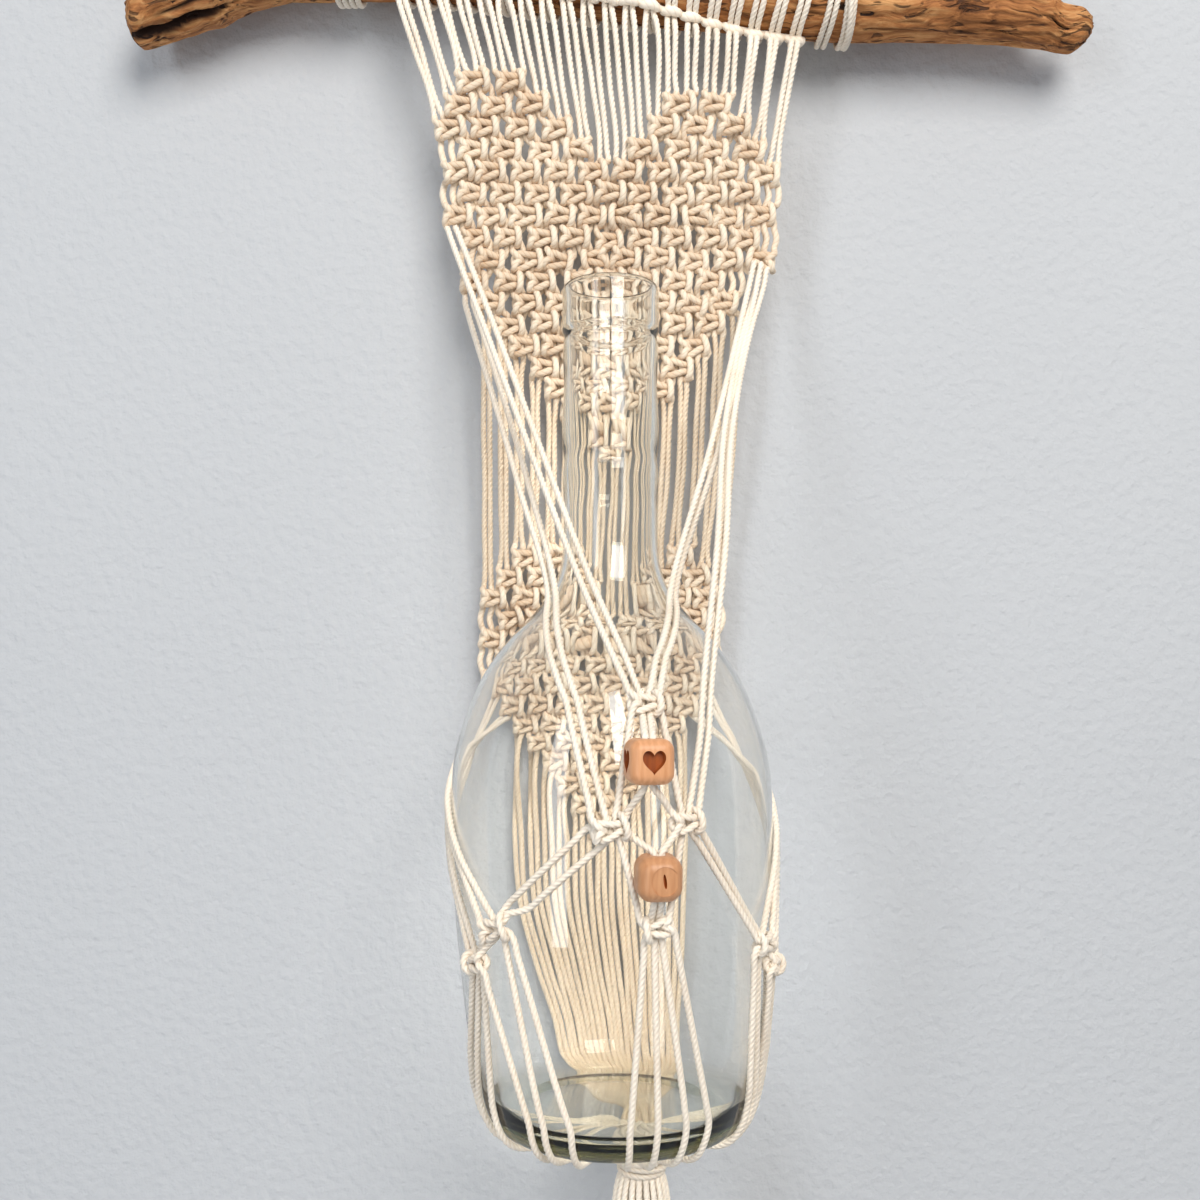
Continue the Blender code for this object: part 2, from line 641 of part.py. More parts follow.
def make_tassel():
    head, wisps = Shell(), Shell()
    rings = head.lathe(((-609, 8.2), (-610, 9.6), (-619.5, 8.6), (-623, 12.6), (-626.5, 13.4)), HUB[:2], 16)
    head.cap(rings[0])
    head.cap(rings[-1][::-1])
    total = 0
    for r, count in ((2.6, 5), (6.9, 12), (11.2, 19)):
        for k in range(count):
            a = math.tau * (k + 0.3 * math.sin(r)) / count
            lean = 1 + (0.38 + 0.16 * math.sin(5.1 * k + r)) * (r > 4)
            end = -778 - 9 * math.sin(2.3 * total) - r
            path = []
            for t in (0, 0.35, 0.7, 1):
                reach = r * (1 + (lean - 1) * t ** 0.7)
                z = -625.4 + (end + 625.4) * t
                swing = 1.2 * math.sin(total * 1.9 + 4 * t) * t
                path.append((HUB[0] + reach * math.sin(a) + swing, HUB[1] - reach * math.cos(a), z))
            wisps.tube(path, 2.7, 2.7)
            total += 1
    tassel = head.build("tassel")
    join(tassel, wisps.build("wisps"))
    drop_crumbs(tassel)
    paint(tassel, (0.88, 0.8, 0.68))


def make_gathering():
    """The cord wound round the neck of the tassel, one ridge per turn."""
    shell, rings, turns = Shell(), [], 3
    steps = [(-609.3 - 9.2 * i / (2 * turns), (13.2 if i % 2 else 11.9) - 1.6 * i / (2 * turns))
             for i in range(2 * turns + 1)]
    steps += [(-618.5, 9.45), (-614, 10.1), (-609.3, 10.1)]
    for z, r in steps:
        rings.append(shell.ring([(HUB[0] + r * math.sin(math.tau * k / 16),
                                  HUB[1] - r * math.cos(math.tau * k / 16), z) for k in range(16)]))
    for a, b in zip(rings, rings[1:] + rings[:1]):
        shell.bridge(a, b)
    shell.build("gathering_wrap", (0.9, 0.83, 0.72))


def make_bottle():
    shell = Shell()
    rings = shell.lathe(BOTTLE + HOLLOW, AXIS, BOTTLE_SIDES)
    foot = len(BOTTLE) - 1
    shell.faces = [f for f in shell.faces if not (set(f) <= set(rings[foot]) | set(rings[foot + 1]))]
    for ring, z in ((rings[foot], -586.4), (rings[foot + 1], -580.4)):
        tip = shell.add((*AXIS, z))
        for i in range(len(ring)):
            shell.faces.append((ring[i], ring[(i + 1) % len(ring)], tip))
    shell.bridge(rings[-1], rings[0])
    bottle = shell.build("bottle", (0.75, 0.82, 0.76))
    shader = bottle.data.materials[0].node_tree.nodes["Principled BSDF"]
    shader.inputs["Transmission Weight"].default_value = 0.9
    shader.inputs["Roughness"].default_value = 0.05


clear_scene()
make_branch()
make_wrap("wrap_left", -136, 4, 1.5)
make_wrap("wrap_right", 118.5, 5, 3)
make_panel()
make_net()
for bead_name in BEADS:
    make_bead(bead_name)
make_tassel()
make_gathering()
make_bottle()
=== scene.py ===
from math import copysign, cos, degrees, exp, hypot, pi, radians, sin, sqrt, tau

import bmesh
import bpy
import numpy as np
from mathutils import Matrix, Vector, noise


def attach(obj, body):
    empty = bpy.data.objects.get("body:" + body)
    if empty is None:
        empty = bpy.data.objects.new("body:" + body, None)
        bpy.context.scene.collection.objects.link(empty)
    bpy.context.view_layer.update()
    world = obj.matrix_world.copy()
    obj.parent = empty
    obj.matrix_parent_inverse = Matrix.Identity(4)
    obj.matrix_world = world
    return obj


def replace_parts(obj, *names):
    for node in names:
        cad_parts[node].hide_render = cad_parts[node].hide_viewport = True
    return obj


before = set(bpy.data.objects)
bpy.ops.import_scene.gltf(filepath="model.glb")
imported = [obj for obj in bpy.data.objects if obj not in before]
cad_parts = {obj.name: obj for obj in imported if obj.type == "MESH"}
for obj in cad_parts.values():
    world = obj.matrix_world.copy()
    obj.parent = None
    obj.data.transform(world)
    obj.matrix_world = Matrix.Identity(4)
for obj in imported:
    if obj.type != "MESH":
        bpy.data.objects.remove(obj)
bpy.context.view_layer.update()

luck = np.random.default_rng(11)
print("frame loaded:", len(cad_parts), "nodes")


# camera, light and backdrop

view = {"place": (-0.005, -0.700, -0.377), "lens": 38.4, "shiftUp": 0.06}
light = {"sky": (0.95, 0.97, 1.0), "skyFront": 0.325, "skyBack": 0.15, "lamps": {
    # place, aim, width, height, power and tint of each; the fill is tall and narrow, like a window
    "key": ((0.5, -1.75, 0.72), (0, -0.05, -0.3), 1.0, 1.2, 38, (1.0, 0.95, 0.885)),
    "fill": ((-1.15, -1.55, -0.2), (0, -0.05, -0.4), 0.42, 1.9, 11, (0.93, 0.965, 1.0)),
    "rear": ((0.5, 1.7, 0.5), (0, 0, -0.35), 1.2, 1.2, 8, (1, 1, 1))}}


def addObject(name, data):
    made = bpy.data.objects.new(name, data)
    bpy.context.scene.collection.objects.link(made)
    return made


def addSmooth(name, mesh, material):
    mesh.shade_smooth()
    mesh.materials.append(material)
    return addObject(name, mesh)


camera = addObject("camera", bpy.data.cameras.new("camera"))
camera.location = view["place"]
camera.rotation_euler = (radians(90), 0, 0)
camera.data.lens, camera.data.shift_y = view["lens"], view["shiftUp"]
bpy.context.scene.camera = camera
for name, (place, aim, width, height, power, tint) in light["lamps"].items():
    lamp = bpy.data.lights.new(name, "AREA")
    lamp.shape, lamp.size, lamp.size_y, lamp.energy, lamp.color = "RECTANGLE", width, height, power, tint
    holder = addObject(name, lamp)
    holder.location = place
    holder.rotation_euler = (Vector(aim) - Vector(place)).to_track_quat("-Z", "Y").to_euler()
world = bpy.data.worlds.new("sky")
bpy.context.scene.world = world
world.use_nodes = True
sky = world.node_tree
background = sky.nodes["Background"]
background.inputs[0].default_value = (*light["sky"], 1)
side = sky.nodes.new("ShaderNodeSeparateXYZ")  # the sky is dimmer behind the wall than in front of it
fade = sky.nodes.new("ShaderNodeMapRange")
sky.links.new(sky.nodes.new("ShaderNodeTexCoord").outputs["Generated"], side.inputs[0])
sky.links.new(side.outputs[1], fade.inputs[0])
for key, value in {"From Min": -0.3, "From Max": 0.3, "To Min": light["skyFront"], "To Max": light["skyBack"]}.items():
    fade.inputs[key].default_value = value
sky.links.new(fade.outputs[0], background.inputs[1])
bpy.context.scene.view_settings.view_transform = "Standard"


# finishes

class Wire:
    # a value on its way through the shader, with Python's own arithmetic
    def __init__(self, look, socket):
        self.look, self.socket = look, socket

    def __add__(self, other): return self.look.maths("ADD", self, other)
    def __radd__(self, other): return self.look.maths("ADD", other, self)
    def __sub__(self, other): return self.look.maths("SUBTRACT", self, other)
    def __rsub__(self, other): return self.look.maths("SUBTRACT", other, self)
    def __mul__(self, other): return self.look.maths("MULTIPLY", self, other)
    def __rmul__(self, other): return self.look.maths("MULTIPLY", other, self)
    def __pow__(self, other): return self.look.maths("POWER", self, other)


class Look:
    def __init__(self, name, rough, shine, **more):
        self.material = bpy.data.materials.new(name)
        self.material.use_nodes = True
        self.tree = self.material.node_tree
        self.shader = self.tree.nodes["Principled BSDF"]
        self.out = self.tree.nodes["Material Output"]
        self.feed(self.shader, {"Roughness": rough, "Specular IOR Level": shine, **more})

    def feed(self, node, inputs):
        for key, value in inputs.items():
            socket = node.inputs[key]
            if isinstance(value, Wire):
                self.tree.links.new(value.socket, socket)
            elif socket.type == "RGBA":
                socket.default_value = (*value, 1)
            else:
                socket.default_value = value

    def node(self, kind, settings=None, inputs=None, out=0):
        made = self.tree.nodes.new("ShaderNode" + kind)
        for key, value in (settings or {}).items():
            setattr(made, key, value)
        self.feed(made, inputs or {})
        return Wire(self, made.outputs[out])

    def maths(self, operation, *values):
        return self.node("Math", {"operation": operation}, dict(enumerate(values)))

    def clamp(self, value):
        return self.node("Clamp", None, {0: value})

    def between(self, value, low, high):  # 0 below low, 1 above high, smooth in the middle
        return self.node("MapRange", {"interpolation_type": "SMOOTHSTEP"}, {
            "Value": value, "From Min": low, "From Max": high})

    def blend(self, share, first, second):
        return self.node("Mix", {"data_type": "RGBA"}, {0: share, 6: first, 7: second}, out=2)

    def scaled(self, vector, by):
        return self.node("VectorMath", {"operation": "MULTIPLY"}, {0: vector, 1: by})

    def grain(self, vector, scale, detail=3.0, rough=0.5, bend=0.0):
        return self.node("TexNoise", None, {
            "Vector": vector, "Scale": scale, "Detail": detail, "Roughness": rough, "Distortion": bend})

    def place(self):
        return self.node("TexCoord", out=3)

    def attribute(self, name):
        return self.node("Attribute", {"attribute_name": name}, out=2)

    def colour(self, value):
        self.feed(self.shader, {"Base Color": value})

    def relief(self, height, strength, distance):
        bump = self.node("Bump", None, {"Height": height, "Strength": strength, "Distance": distance})
        self.feed(self.shader, {"Normal": bump})


cottonTones = {  # clean tone, darker tone painted in the grooves as shade, and how much painted shade darkens a cord where it lies flat
    "ivory": ((1.0, 0.91, 0.785), (0.72, 0.52, 0.34), 0.06),
    # beige and wheat are the same cotton as ivory, made darker as painted shade: beige for the hearts, wheat for the
    # middle cords and the cords behind the bottle
    "shadedBeige": ((0.94, 0.82, 0.66), (0.56, 0.35, 0.19), 0.56),
    "shadedWheat": ((0.87, 0.73, 0.56), (0.54, 0.34, 0.17), 0.3)}


def cottonLook(name, tone):
    # twisted cotton: three plies, with painted shade in their grooves and where a cord lies flat, with fine fibres
    # along each
    look = Look(name, 0.86, 0.2, **{"Sheen Weight": 0.25, "Sheen Roughness": 0.5})
    pale, deep, flatShade = cottonTones[tone]
    lay = look.node("UVMap", {"uv_map": "lay"})
    split = look.tree.nodes.new("ShaderNodeSeparateXYZ")
    look.feed(split, {0: lay})
    turn, along = Wire(look, split.outputs[0]), Wire(look, split.outputs[1])
    ply = look.maths("ABSOLUTE", look.maths("SINE", turn * pi))
    fibreAt = look.node("CombineXYZ", None, {0: turn * 5.0, 1: along * 0.22, 2: 0.0})
    fibre = look.grain(fibreAt, 2.2, 4.0, 0.65)
    patch = look.grain(look.place(), 45.0, 2.0)
    fluff = look.grain(look.place(), 1900.0, 2.0, 0.7)
    groove = 1 - look.between(ply, 0.0, 0.55)
    level = look.attribute("level")
    # painted shade in the ply grooves and on cords that lie flat, mixed with random tone from the fibres and patches
    shadeAndTone = look.clamp(groove * 0.3 + level * flatShade + (0.5 - fibre) * 0.5 + (0.5 - patch) * 0.8)
    look.colour(look.blend(shadeAndTone, pale, deep))
    look.relief((ply ** 0.6) * 0.7 + fibre * 0.35 + fluff * 0.2, 0.7, 0.00035)
    return look.material


woodTones = (
    (0.3, (0.06, 0.018, 0.005)), (0.42, (0.19, 0.068, 0.02)), (0.54, (0.42, 0.168, 0.053)), (0.7, (0.65, 0.34, 0.135)))


def driftwoodLook():
    look = Look("driftwood", 0.72, 0.3)
    place = look.place()
    swirl = look.node("TexNoise", None, {"Vector": place, "Scale": 26.0, "Detail": 2.0}, out=1)
    bend = look.node("VectorMath", {"operation": "SCALE"}, {0: swirl, 3: 0.022})
    wavy = look.node("VectorMath", {"operation": "ADD"}, {0: place, 1: bend})
    streak = look.grain(look.scaled(wavy, (18.0, 160.0, 160.0)), 1.0, 8.0, 0.68, 0.6)
    hair = look.grain(look.scaled(wavy, (60.0, 620.0, 620.0)), 1.0, 4.0, 0.6, 0.3)
    patch = look.grain(place, 16.0, 3.0)
    split = look.between(look.grain(look.scaled(wavy, (34.0, 300.0, 300.0)), 1.0, 3.0, 0.5, 0.8), 0.43, 0.34)
    hollow = look.attribute("hollow")
    tone = look.node("ValToRGB", None, {0: streak * 0.8 + hair * 0.42 + (patch - 0.5) * 0.3 - 0.045})
    stops = tone.socket.node.color_ramp.elements
    while len(stops) < len(woodTones):
        stops.new(0.5)
    for stop, (at, colour) in zip(stops, woodTones):
        stop.position, stop.color = at, (*colour, 1)
    # painted shade: the fine cracks and the mesh's cracks and gouges go towards near black, and the wood is darker
    # towards the broken ends
    dark = look.clamp(split * 0.75 + hollow)
    look.colour(look.blend(dark, tone, (0.024, 0.008, 0.003)))
    look.relief(streak * 0.6 + hair * 0.4 - split * 0.7, 0.9, 0.0014)
    return look.material


def beadLook(name, centreTint, edgeTint):
    look = Look(name, 0.42, 0.4, **{"Coat Weight": 0.12, "Coat Roughness": 0.35})
    place = look.place()
    rings = look.node("TexWave", {"wave_type": "BANDS", "bands_direction": "X"}, {
        "Vector": look.scaled(place, (1.0, 0.35, 0.2)), "Scale": 95.0, "Distortion": 9.0, "Detail": 3.0,
        "Detail Scale": 1.1}, out=1)
    fleck = look.grain(look.scaled(place, (900.0, 900.0, 110.0)), 1.0, 3.0)
    share = look.clamp(rings * 0.3 + (fleck - 0.5) * 0.9 + 0.15)
    look.colour(look.blend(share, centreTint, edgeTint))
    look.relief(fleck * 0.6 + rings * 0.4, 0.35, 0.00025)
    return look.material


def glassLook():
    look = Look("clearGlass", 0.0, 0.5, **{"Base Color": (1, 1, 1), "Transmission Weight": 1.0, "IOR": 1.47})
    ripple = look.grain(look.scaled(look.place(), (14.0, 14.0, 5.0)), 1.0, 2.0)
    look.relief(ripple, 0.12, 0.004)
    depth = look.tree.nodes.new("ShaderNodeVolumeAbsorption")
    look.feed(depth, {"Color": (0.45, 0.49, 0.35), "Density": 38.0})
    look.tree.links.new(depth.outputs[0], look.out.inputs["Volume"])
    return look.material


def plasterLook():
    look = Look("plaster", 0.95, 0.1)
    place = look.place()
    broad = look.grain(place, 3.0, 3.0)
    peel = look.grain(place, 190.0, 3.0, 0.5)
    look.colour(look.blend(broad, (0.5, 0.522, 0.552), (0.55, 0.572, 0.602)))
    look.relief(peel, 0.8, 0.0019)
    behind = look.node("NewGeometry", out=6)
    clear = look.node("BsdfTransparent")
    mix = look.tree.nodes.new("ShaderNodeMixShader")
    look.tree.links.new(behind.socket, mix.inputs[0])
    look.tree.links.new(look.shader.outputs[0], mix.inputs[1])
    look.tree.links.new(clear.socket, mix.inputs[2])
    look.tree.links.new(mix.outputs[0], look.out.inputs["Surface"])
    return look.material


room = {"wall": 0.0012, "top": 0.75, "foot": -1.05, "bend": 0.2, "front": -2.9, "half": 1.7}


def makeBackdrop():
    # a plain wall that curves into a plain floor, seen from the room side only
    back, foot, bend = room["wall"], room["foot"], room["bend"]
    rows = [(back, room["top"]), (back, foot)]
    rows += [(back - bend * (1 - cos(a)), foot - bend * sin(a)) for a in np.linspace(0.15, pi / 2, 9)]
    rows += [(room["front"], foot - bend)]
    mesh = bpy.data.meshes.new("backdrop")
    points = [(x, y, z) for y, z in rows for x in (-room["half"], room["half"])]
    mesh.from_pydata(points, [], [(2 * i, 2 * i + 2, 2 * i + 3, 2 * i + 1) for i in range(len(rows) - 1)])
    wall = addSmooth("backdrop", mesh, plasterLook())
    wall.visible_shadow = False


makeBackdrop()
print("camera, light and backdrop made")


# cords: each is a run of points in millimetres

cordSize = {"radius": 1.55, "knotRadius": 1.72, "lay": 8.4, "knotSides": 8,
            "step": 0.95, "turnStep": 1.6, "backStep": 1.4, "knotStep": 1.5}


def gaps(points):
    return np.linalg.norm(np.diff(points, axis=0), axis=1)


def smoothRun(points, step):
    # a smooth curve through the points, at even steps, with how far along it each point lies
    p = np.asarray(points, float)
    keep = np.r_[True, gaps(p) > 1e-4]
    p = p[keep]
    gap = gaps(p)
    slope = np.diff(p, axis=0) / gap[:, None]
    lean = np.empty_like(p)
    lean[0], lean[-1] = slope[0], slope[-1]
    lean[1:-1] = (slope[:-1] * gap[1:, None] + slope[1:] * gap[:-1, None]) / (gap[1:] + gap[:-1])[:, None]
    count = np.maximum(2, np.ceil(gap / (step * 0.5)).astype(int))
    seg = np.repeat(np.arange(len(gap)), count)
    t = np.concatenate([np.arange(n) / n for n in count])[:, None]
    h = gap[seg][:, None]
    dense = ((2 * t ** 3 - 3 * t ** 2 + 1) * p[seg] + (t ** 3 - 2 * t ** 2 + t) * h * lean[seg]
             + (3 * t ** 2 - 2 * t ** 3) * p[seg + 1] + (t ** 3 - t ** 2) * h * lean[seg + 1])
    dense = np.vstack([dense, p[-1]])
    far = np.r_[0, np.cumsum(gaps(dense))]
    marks = far[np.r_[0, np.cumsum(count)]]
    marks = marks[np.cumsum(keep) - 1]
    n = max(2, int(round(far[-1] / step)))
    at = np.linspace(0, far[-1], n + 1)
    return np.stack([np.interp(at, far, dense[:, k]) for k in range(3)], axis=1), at, marks


class Spool:
    # gathers cords into one mesh; a laid cord has three plies in its shape
    def __init__(self, laid=True, sides=9):
        self.laid, self.sides = laid, sides
        self.points, self.faces, self.corners, self.caps, self.levels, self.count = [], [], [], [], [], 0

    def wind(self, run, radius=None, taper=None):
        radius = radius or cordSize["radius"]
        run = np.asarray(run, float)
        along = np.gradient(run, axis=0)
        along /= np.linalg.norm(along, axis=1)[:, None]
        first, last = run[0], run[-1]
        dome = ((0.25, 0.97), (0.62, 0.78), (0.95, 0.31))  # rounded ends
        head = np.array([first - along[0] * radius * a for a, _ in dome[::-1]])
        tail = np.array([last + along[-1] * radius * a for a, _ in dome])
        size = np.ones(len(run)) if taper is None else np.asarray(taper, float)
        size = np.r_[[b * size[0] for _, b in dome[::-1]], size, [b * size[-1] for _, b in dome]]
        along = np.vstack([np.repeat(along[:1], 3, 0), along, np.repeat(along[-1:], 3, 0)])
        run = np.vstack([head, run, tail])
        far = np.r_[0, np.cumsum(gaps(run))]
        normal = np.array((0.0, -1.0, 0.0) if abs(along[0][1]) < 0.9 else (1.0, 0.0, 0.0))
        normals = np.empty_like(along)
        for i, tangent in enumerate(along):
            normal = normal - tangent * (normal @ tangent)
            normal /= np.linalg.norm(normal)
            normals[i] = normal
        sideways = np.cross(along, normals)
        k = np.arange(self.sides)
        angle = tau * k / self.sides + (tau * far / cordSize["lay"] if self.laid else 0 * far)[:, None]
        reach = radius * size[:, None] * (np.where(k % 3 == 0, 0.87, 1.04) if self.laid else 1.0)
        ring = (run[:, None] + (np.cos(angle) * reach)[..., None] * normals[:, None]
                + (np.sin(angle) * reach)[..., None] * sideways[:, None])
        rows = len(run)
        i, j = np.meshgrid(np.arange(rows - 1), k, indexing="ij")
        a = self.count + i * self.sides + j
        b = self.count + i * self.sides + (j + 1) % self.sides
        self.faces.append(np.stack([a, b, b + self.sides, a + self.sides], axis=-1).reshape(-1, 4))
        turn = 3 * np.arange(self.sides + 1) / self.sides
        twist = np.zeros(rows) if self.laid else -3 * far / cordSize["lay"]
        u = turn[None, :] + twist[:, None]
        v = np.repeat(far[:, None], self.sides + 1, axis=1)
        uv = np.stack([u, v], axis=-1)
        self.corners.append(np.stack([uv[:-1, :-1], uv[:-1, 1:], uv[1:, 1:], uv[1:, :-1]], axis=2).reshape(-1, 2))
        self.caps += [(self.count + np.arange(self.sides)[::-1], far[0]),
                      (self.count + (rows - 1) * self.sides + np.arange(self.sides), far[-1])]
        # how flat the cord lies, for the painted shade on flat-lying cords
        self.levels.append(np.repeat(1 - np.abs(along[:, 2]), self.sides))
        self.points.append(ring.reshape(-1, 3))
        self.count += rows * self.sides

    def finish(self, name, material, body="root"):
        quads = np.vstack(self.faces).tolist()
        capUv = [np.full((self.sides, 2), (0.5, v)) for _, v in self.caps]
        mesh = bpy.data.meshes.new(name)
        mesh.from_pydata((np.vstack(self.points) * 0.001).tolist(), [], quads + [c.tolist() for c, _ in self.caps])
        layer = mesh.uv_layers.new(name="lay")
        layer.data.foreach_set("uv", np.vstack([*self.corners, *capUv]).astype(np.float32).ravel())
        level = mesh.attributes.new("level", "FLOAT", "POINT")
        level.data.foreach_set("value", np.concatenate(self.levels).astype(np.float32))
        piece = addSmooth(name, mesh, material)
        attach(piece, body)
        print(f"{name}: {len(quads) * 2} triangles")
        return piece


# the shapes that everything is set on, in millimetres

branchRows = (  # along the branch: x, the height of its underside, radius
    (-251, -47.5, 13.5), (-247, -49, 16), (-241, -47.2, 18.6), (-229, -42.8, 20.2), (-214, -38, 21.6),
    (-206, -36.4, 22), (-198, -31.6, 21.6), (-190, -28, 21), (-168, -22.8, 21.5), (-137, -22.5, 22), (-110, -22, 22),
    (-80, -24, 22), (-45, -28, 22), (0, -33.5, 21.5), (45, -38, 21.5), (80, -41.5, 21), (100, -43.5, 21),
    (127, -45.5, 20.5), (153, -45.5, 19.5), (180, -45.5, 18.5), (206, -46.5, 17), (228, -48.7, 15.8),
    (232, -49.6, 13.2), (236, -50.6, 12), (243, -51.6, 11.7), (251, -51.2, 11))
rowEnds, pairCount = (-115, 102.3), 20
panelRows = (  # down the panel: z, its left and right edge, its depth
    (-20, -115, 107, -42), (-48, -108, 101, -41), (-74, -100, 95.4, -37.5), (-104, -88.4, 90.7, -33),
    (-141, -87.4, 88, -29), (-201, -87.3, 88.6, -23), (-259, -87, 86.6, -17.5), (-315, -86, 80.3, -12.5),
    (-364, -86.4, 77, -9.5), (-414, -86.6, 76, -8.5), (-460, -86, 76, -8.2), (-560, -80, 70, -8.2))
fanFoot = -104
# radius and height of the glass: its body, and then the looser outline above it that the net is laid on
bottleBody = (
    (50.5, -590.5), (55, -589.4), (58.4, -587), (61.2, -583.4), (63.4, -578.6), (65.2, -572.5), (67, -565),
    (69.4, -550), (71.6, -530), (73.4, -510), (74.6, -495), (75.3, -480), (75.6, -460), (75.6, -434))
bottleRows = [(z, r) for r, z in bottleBody + (
    (74, -418), (70.6, -404), (63.9, -385.6), (54.6, -369.8), (45, -358.4), (36.5, -349.3), (30.5, -342.6),
    (25, -333.5), (22.3, -318), (22, -273), (21.8, -217.5), (23.2, -214), (23, -195), (21.4, -193.5))]
bottleDepth, bottleLean = -92.0, 3.0
hub = (14.6, -92.0, -601.5)  # where the net's cords meet under the bottle


def readTable(rows, at, column):
    rows = sorted(rows)
    return float(np.interp(at, [r[0] for r in rows], [r[column] for r in rows]))


def branchAt(x):
    low, radius = readTable(branchRows, x, 1), readTable(branchRows, x, 2)
    return -27.5, low + radius, radius


def onBranch(x, angle, off):  # 0 is the front, 90 below, -90 on top, 180 at the back
    y, z, radius = branchAt(x)
    a = radians(angle)
    return x, y - (radius + off) * cos(a), z - (radius + off) * sin(a)


def panelDepth(z):
    return readTable(panelRows, z, 3)


def rowX(b):
    return rowEnds[0] + (rowEnds[1] - rowEnds[0]) * b / pairCount


def borderX(b, z):  # x of the border b between pairs, from 0 to 20
    low = min(z, fanFoot)
    left, right = readTable(panelRows, low, 1), readTable(panelRows, low, 2)
    x = left + (right - left) * b / pairCount
    if z <= fanFoot:
        return x
    top = rowX(b)
    start = branchAt(top)[1] - 21.8
    return x + (top - x) * min(1, (z - fanFoot) / (start - fanFoot))


def laneX(lane, z, close=0.0):  # close draws the two cords of a pair together
    pair, half = divmod(lane, 2)
    step = borderX(pair + 1, z) - borderX(pair, z)
    return borderX(pair, z) + step * (0.5 + (half - 0.5) * (0.5 - 0.14 * close))


def axisX(z):  # the bottle hangs slightly off plumb below its shoulder
    return bottleLean * min(1.0, max(0.0, (-410 - z) / 160))


def bottleRadius(z):
    return readTable(bottleRows, z, 1)


def standOff(z, off):
    slope = (bottleRadius(z + 4) - bottleRadius(z - 4)) / 8
    return bottleRadius(z) + off * hypot(1, slope)


def aboutAxis(angle, r, z):
    a = radians(angle)
    return np.array((axisX(z) + r * sin(a), bottleDepth - r * cos(a), z))


def onBottle(angle, z, off=1.6):
    return aboutAxis(angle, standOff(z, off), z)


def clearOfGlass(p, off=1.6):
    dx, dy = p[0] - axisX(p[2]), p[1] - bottleDepth
    away = hypot(dx, dy)
    if not bottleRows[0][0] < p[2] < -193 or away < 5:
        return p
    need = standOff(p[2], off)
    if away >= need:
        return p
    return np.array((axisX(p[2]) + dx * need / away, bottleDepth + dy * need / away, p[2]))


# knots

# the form of one knot, on four cords this far apart: the bar cord crosses the front twice, its partner goes behind
# and stands as a bump, and the two fillers run straight between them
knotSpan, knotRise = 4.5, 11.06
barRun = np.array((
    (6.6, -.4, 4.4), (5.6, -1.0, 2.4), (3.2, -3.1, 1.7), (0, -3.9, 2.2), (-3.2, -3.6, 3.1), (-5.6, -1.8, 3.3),
    (-7.1, -.2, 1.6), (-7.1, -.2, -1.4), (-5.9, -1.6, -3.6), (-3.6, -3.4, -3.9), (0, -4.0, -2.8), (3.2, -3.1, -1.5),
    (5.6, -1.0, -1.9), (6.8, -.3, -4.2)))
bumpRun = np.array((
    (-7.2, -2.8, 4.6), (-5.7, -4.9, 2.5), (-4.1, -3.6, .8), (-2.7, .2, .2), (-.8, 2.6, 1.0), (2.2, 2.6, 3.2),
    (3.4, .6, 4.8), (4.6, -2.6, 5.0), (5.5, -5.0, 3.0), (5.9, -5.6, 0), (5.9, -5.0, -2.8), (5.0, -2.8, -4.7),
    (3.6, .6, -4.6), (1.8, 2.6, -3.0), (-.9, 2.6, -.9), (-2.8, .2, -.5), (-4.4, -3.4, -.4), (-6.3, -4.9, -1.6),
    (-7.2, -3.8, -3.6)))
fillerRun = np.array(((1.8, .3, 3.4), (1.7, .5, -3.0)))


def knotRun(slot, side, jig):
    # the points of one of a knot's four cords, x to the right, y back, z up; side is where the bump stands
    if slot in (1, 2):
        run = fillerRun * (1 if slot == 2 else -1, 1, 1)
    elif (slot == 3) == (side > 0):
        run = barRun * (1 if side > 0 else -1, 1, 1)
    else:
        run = bumpRun * (1 if side > 0 else -1, 1, 1)
    turn, size, depth = radians(jig[0]), jig[1], jig[2]
    x = run[:, 0] * cos(turn) - run[:, 2] * sin(turn)
    z = run[:, 0] * sin(turn) + run[:, 2] * cos(turn)
    return np.stack([x * size, run[:, 1] * depth, z * size], axis=1)


# in each row, the first of the two pairs that each knot joins
upperHeart = {"top": -66.8, "rise": 11.06, "rows": (
    (2, 4), (1, 3, 5, 13, 15), (0, 2, 4, 6, 12, 14, 16), (1, 3, 5, 7, 11, 13, 15, 17), range(0, 19, 2),
    range(1, 18, 2), range(0, 19, 2), range(1, 18, 2), range(2, 19, 2), range(1, 16, 2), range(2, 17, 2),
    range(3, 16, 2), range(4, 15, 2), range(5, 14, 2), (6, 8, 10, 12), (7, 9, 11), (8, 10), (9,))}
lowerHeart = {"top": -309.1, "rise": 11.2, "rows": (
    (4, 6, 14), (3, 5, 7, 13, 15), (2, 4, 6, 8, 12, 14, 16), range(3, 16, 2), range(2, 17, 2), range(3, 16, 2),
    range(2, 17, 2), range(3, 16, 2), range(4, 15, 2), range(5, 14, 2), (6, 8, 10, 12), (7, 9, 11), (8, 10), (9,))}
uneven = {"mirrored": 0.06, "turn": 7.5, "size": 0.05, "depth": 0.12, "drift": 0.6}


def heartJigs(heart):
    # every knot sits a little differently
    jigs = {}
    for r, row in enumerate(heart["rows"]):
        for k in row:
            side = 1 if luck.random() > uneven["mirrored"] else -1
            turn = luck.normal(0, uneven["turn"])
            size, depth = 1 + luck.normal(0, uneven["size"]), 1 + luck.normal(0, uneven["depth"])
            jigs[r, k] = (side, (turn, size, depth), luck.normal(0, uneven["drift"], 3))
    return jigs


def keptPairs(rows):
    kept = [{p for k in row for p in (k, k + 1)} for row in rows]
    loops = [kept[r - 1] & kept[r + 1] if 0 < r < len(rows) - 1 else set() for r in range(len(rows))]
    return [a | b for a, b in zip(kept, loops)]


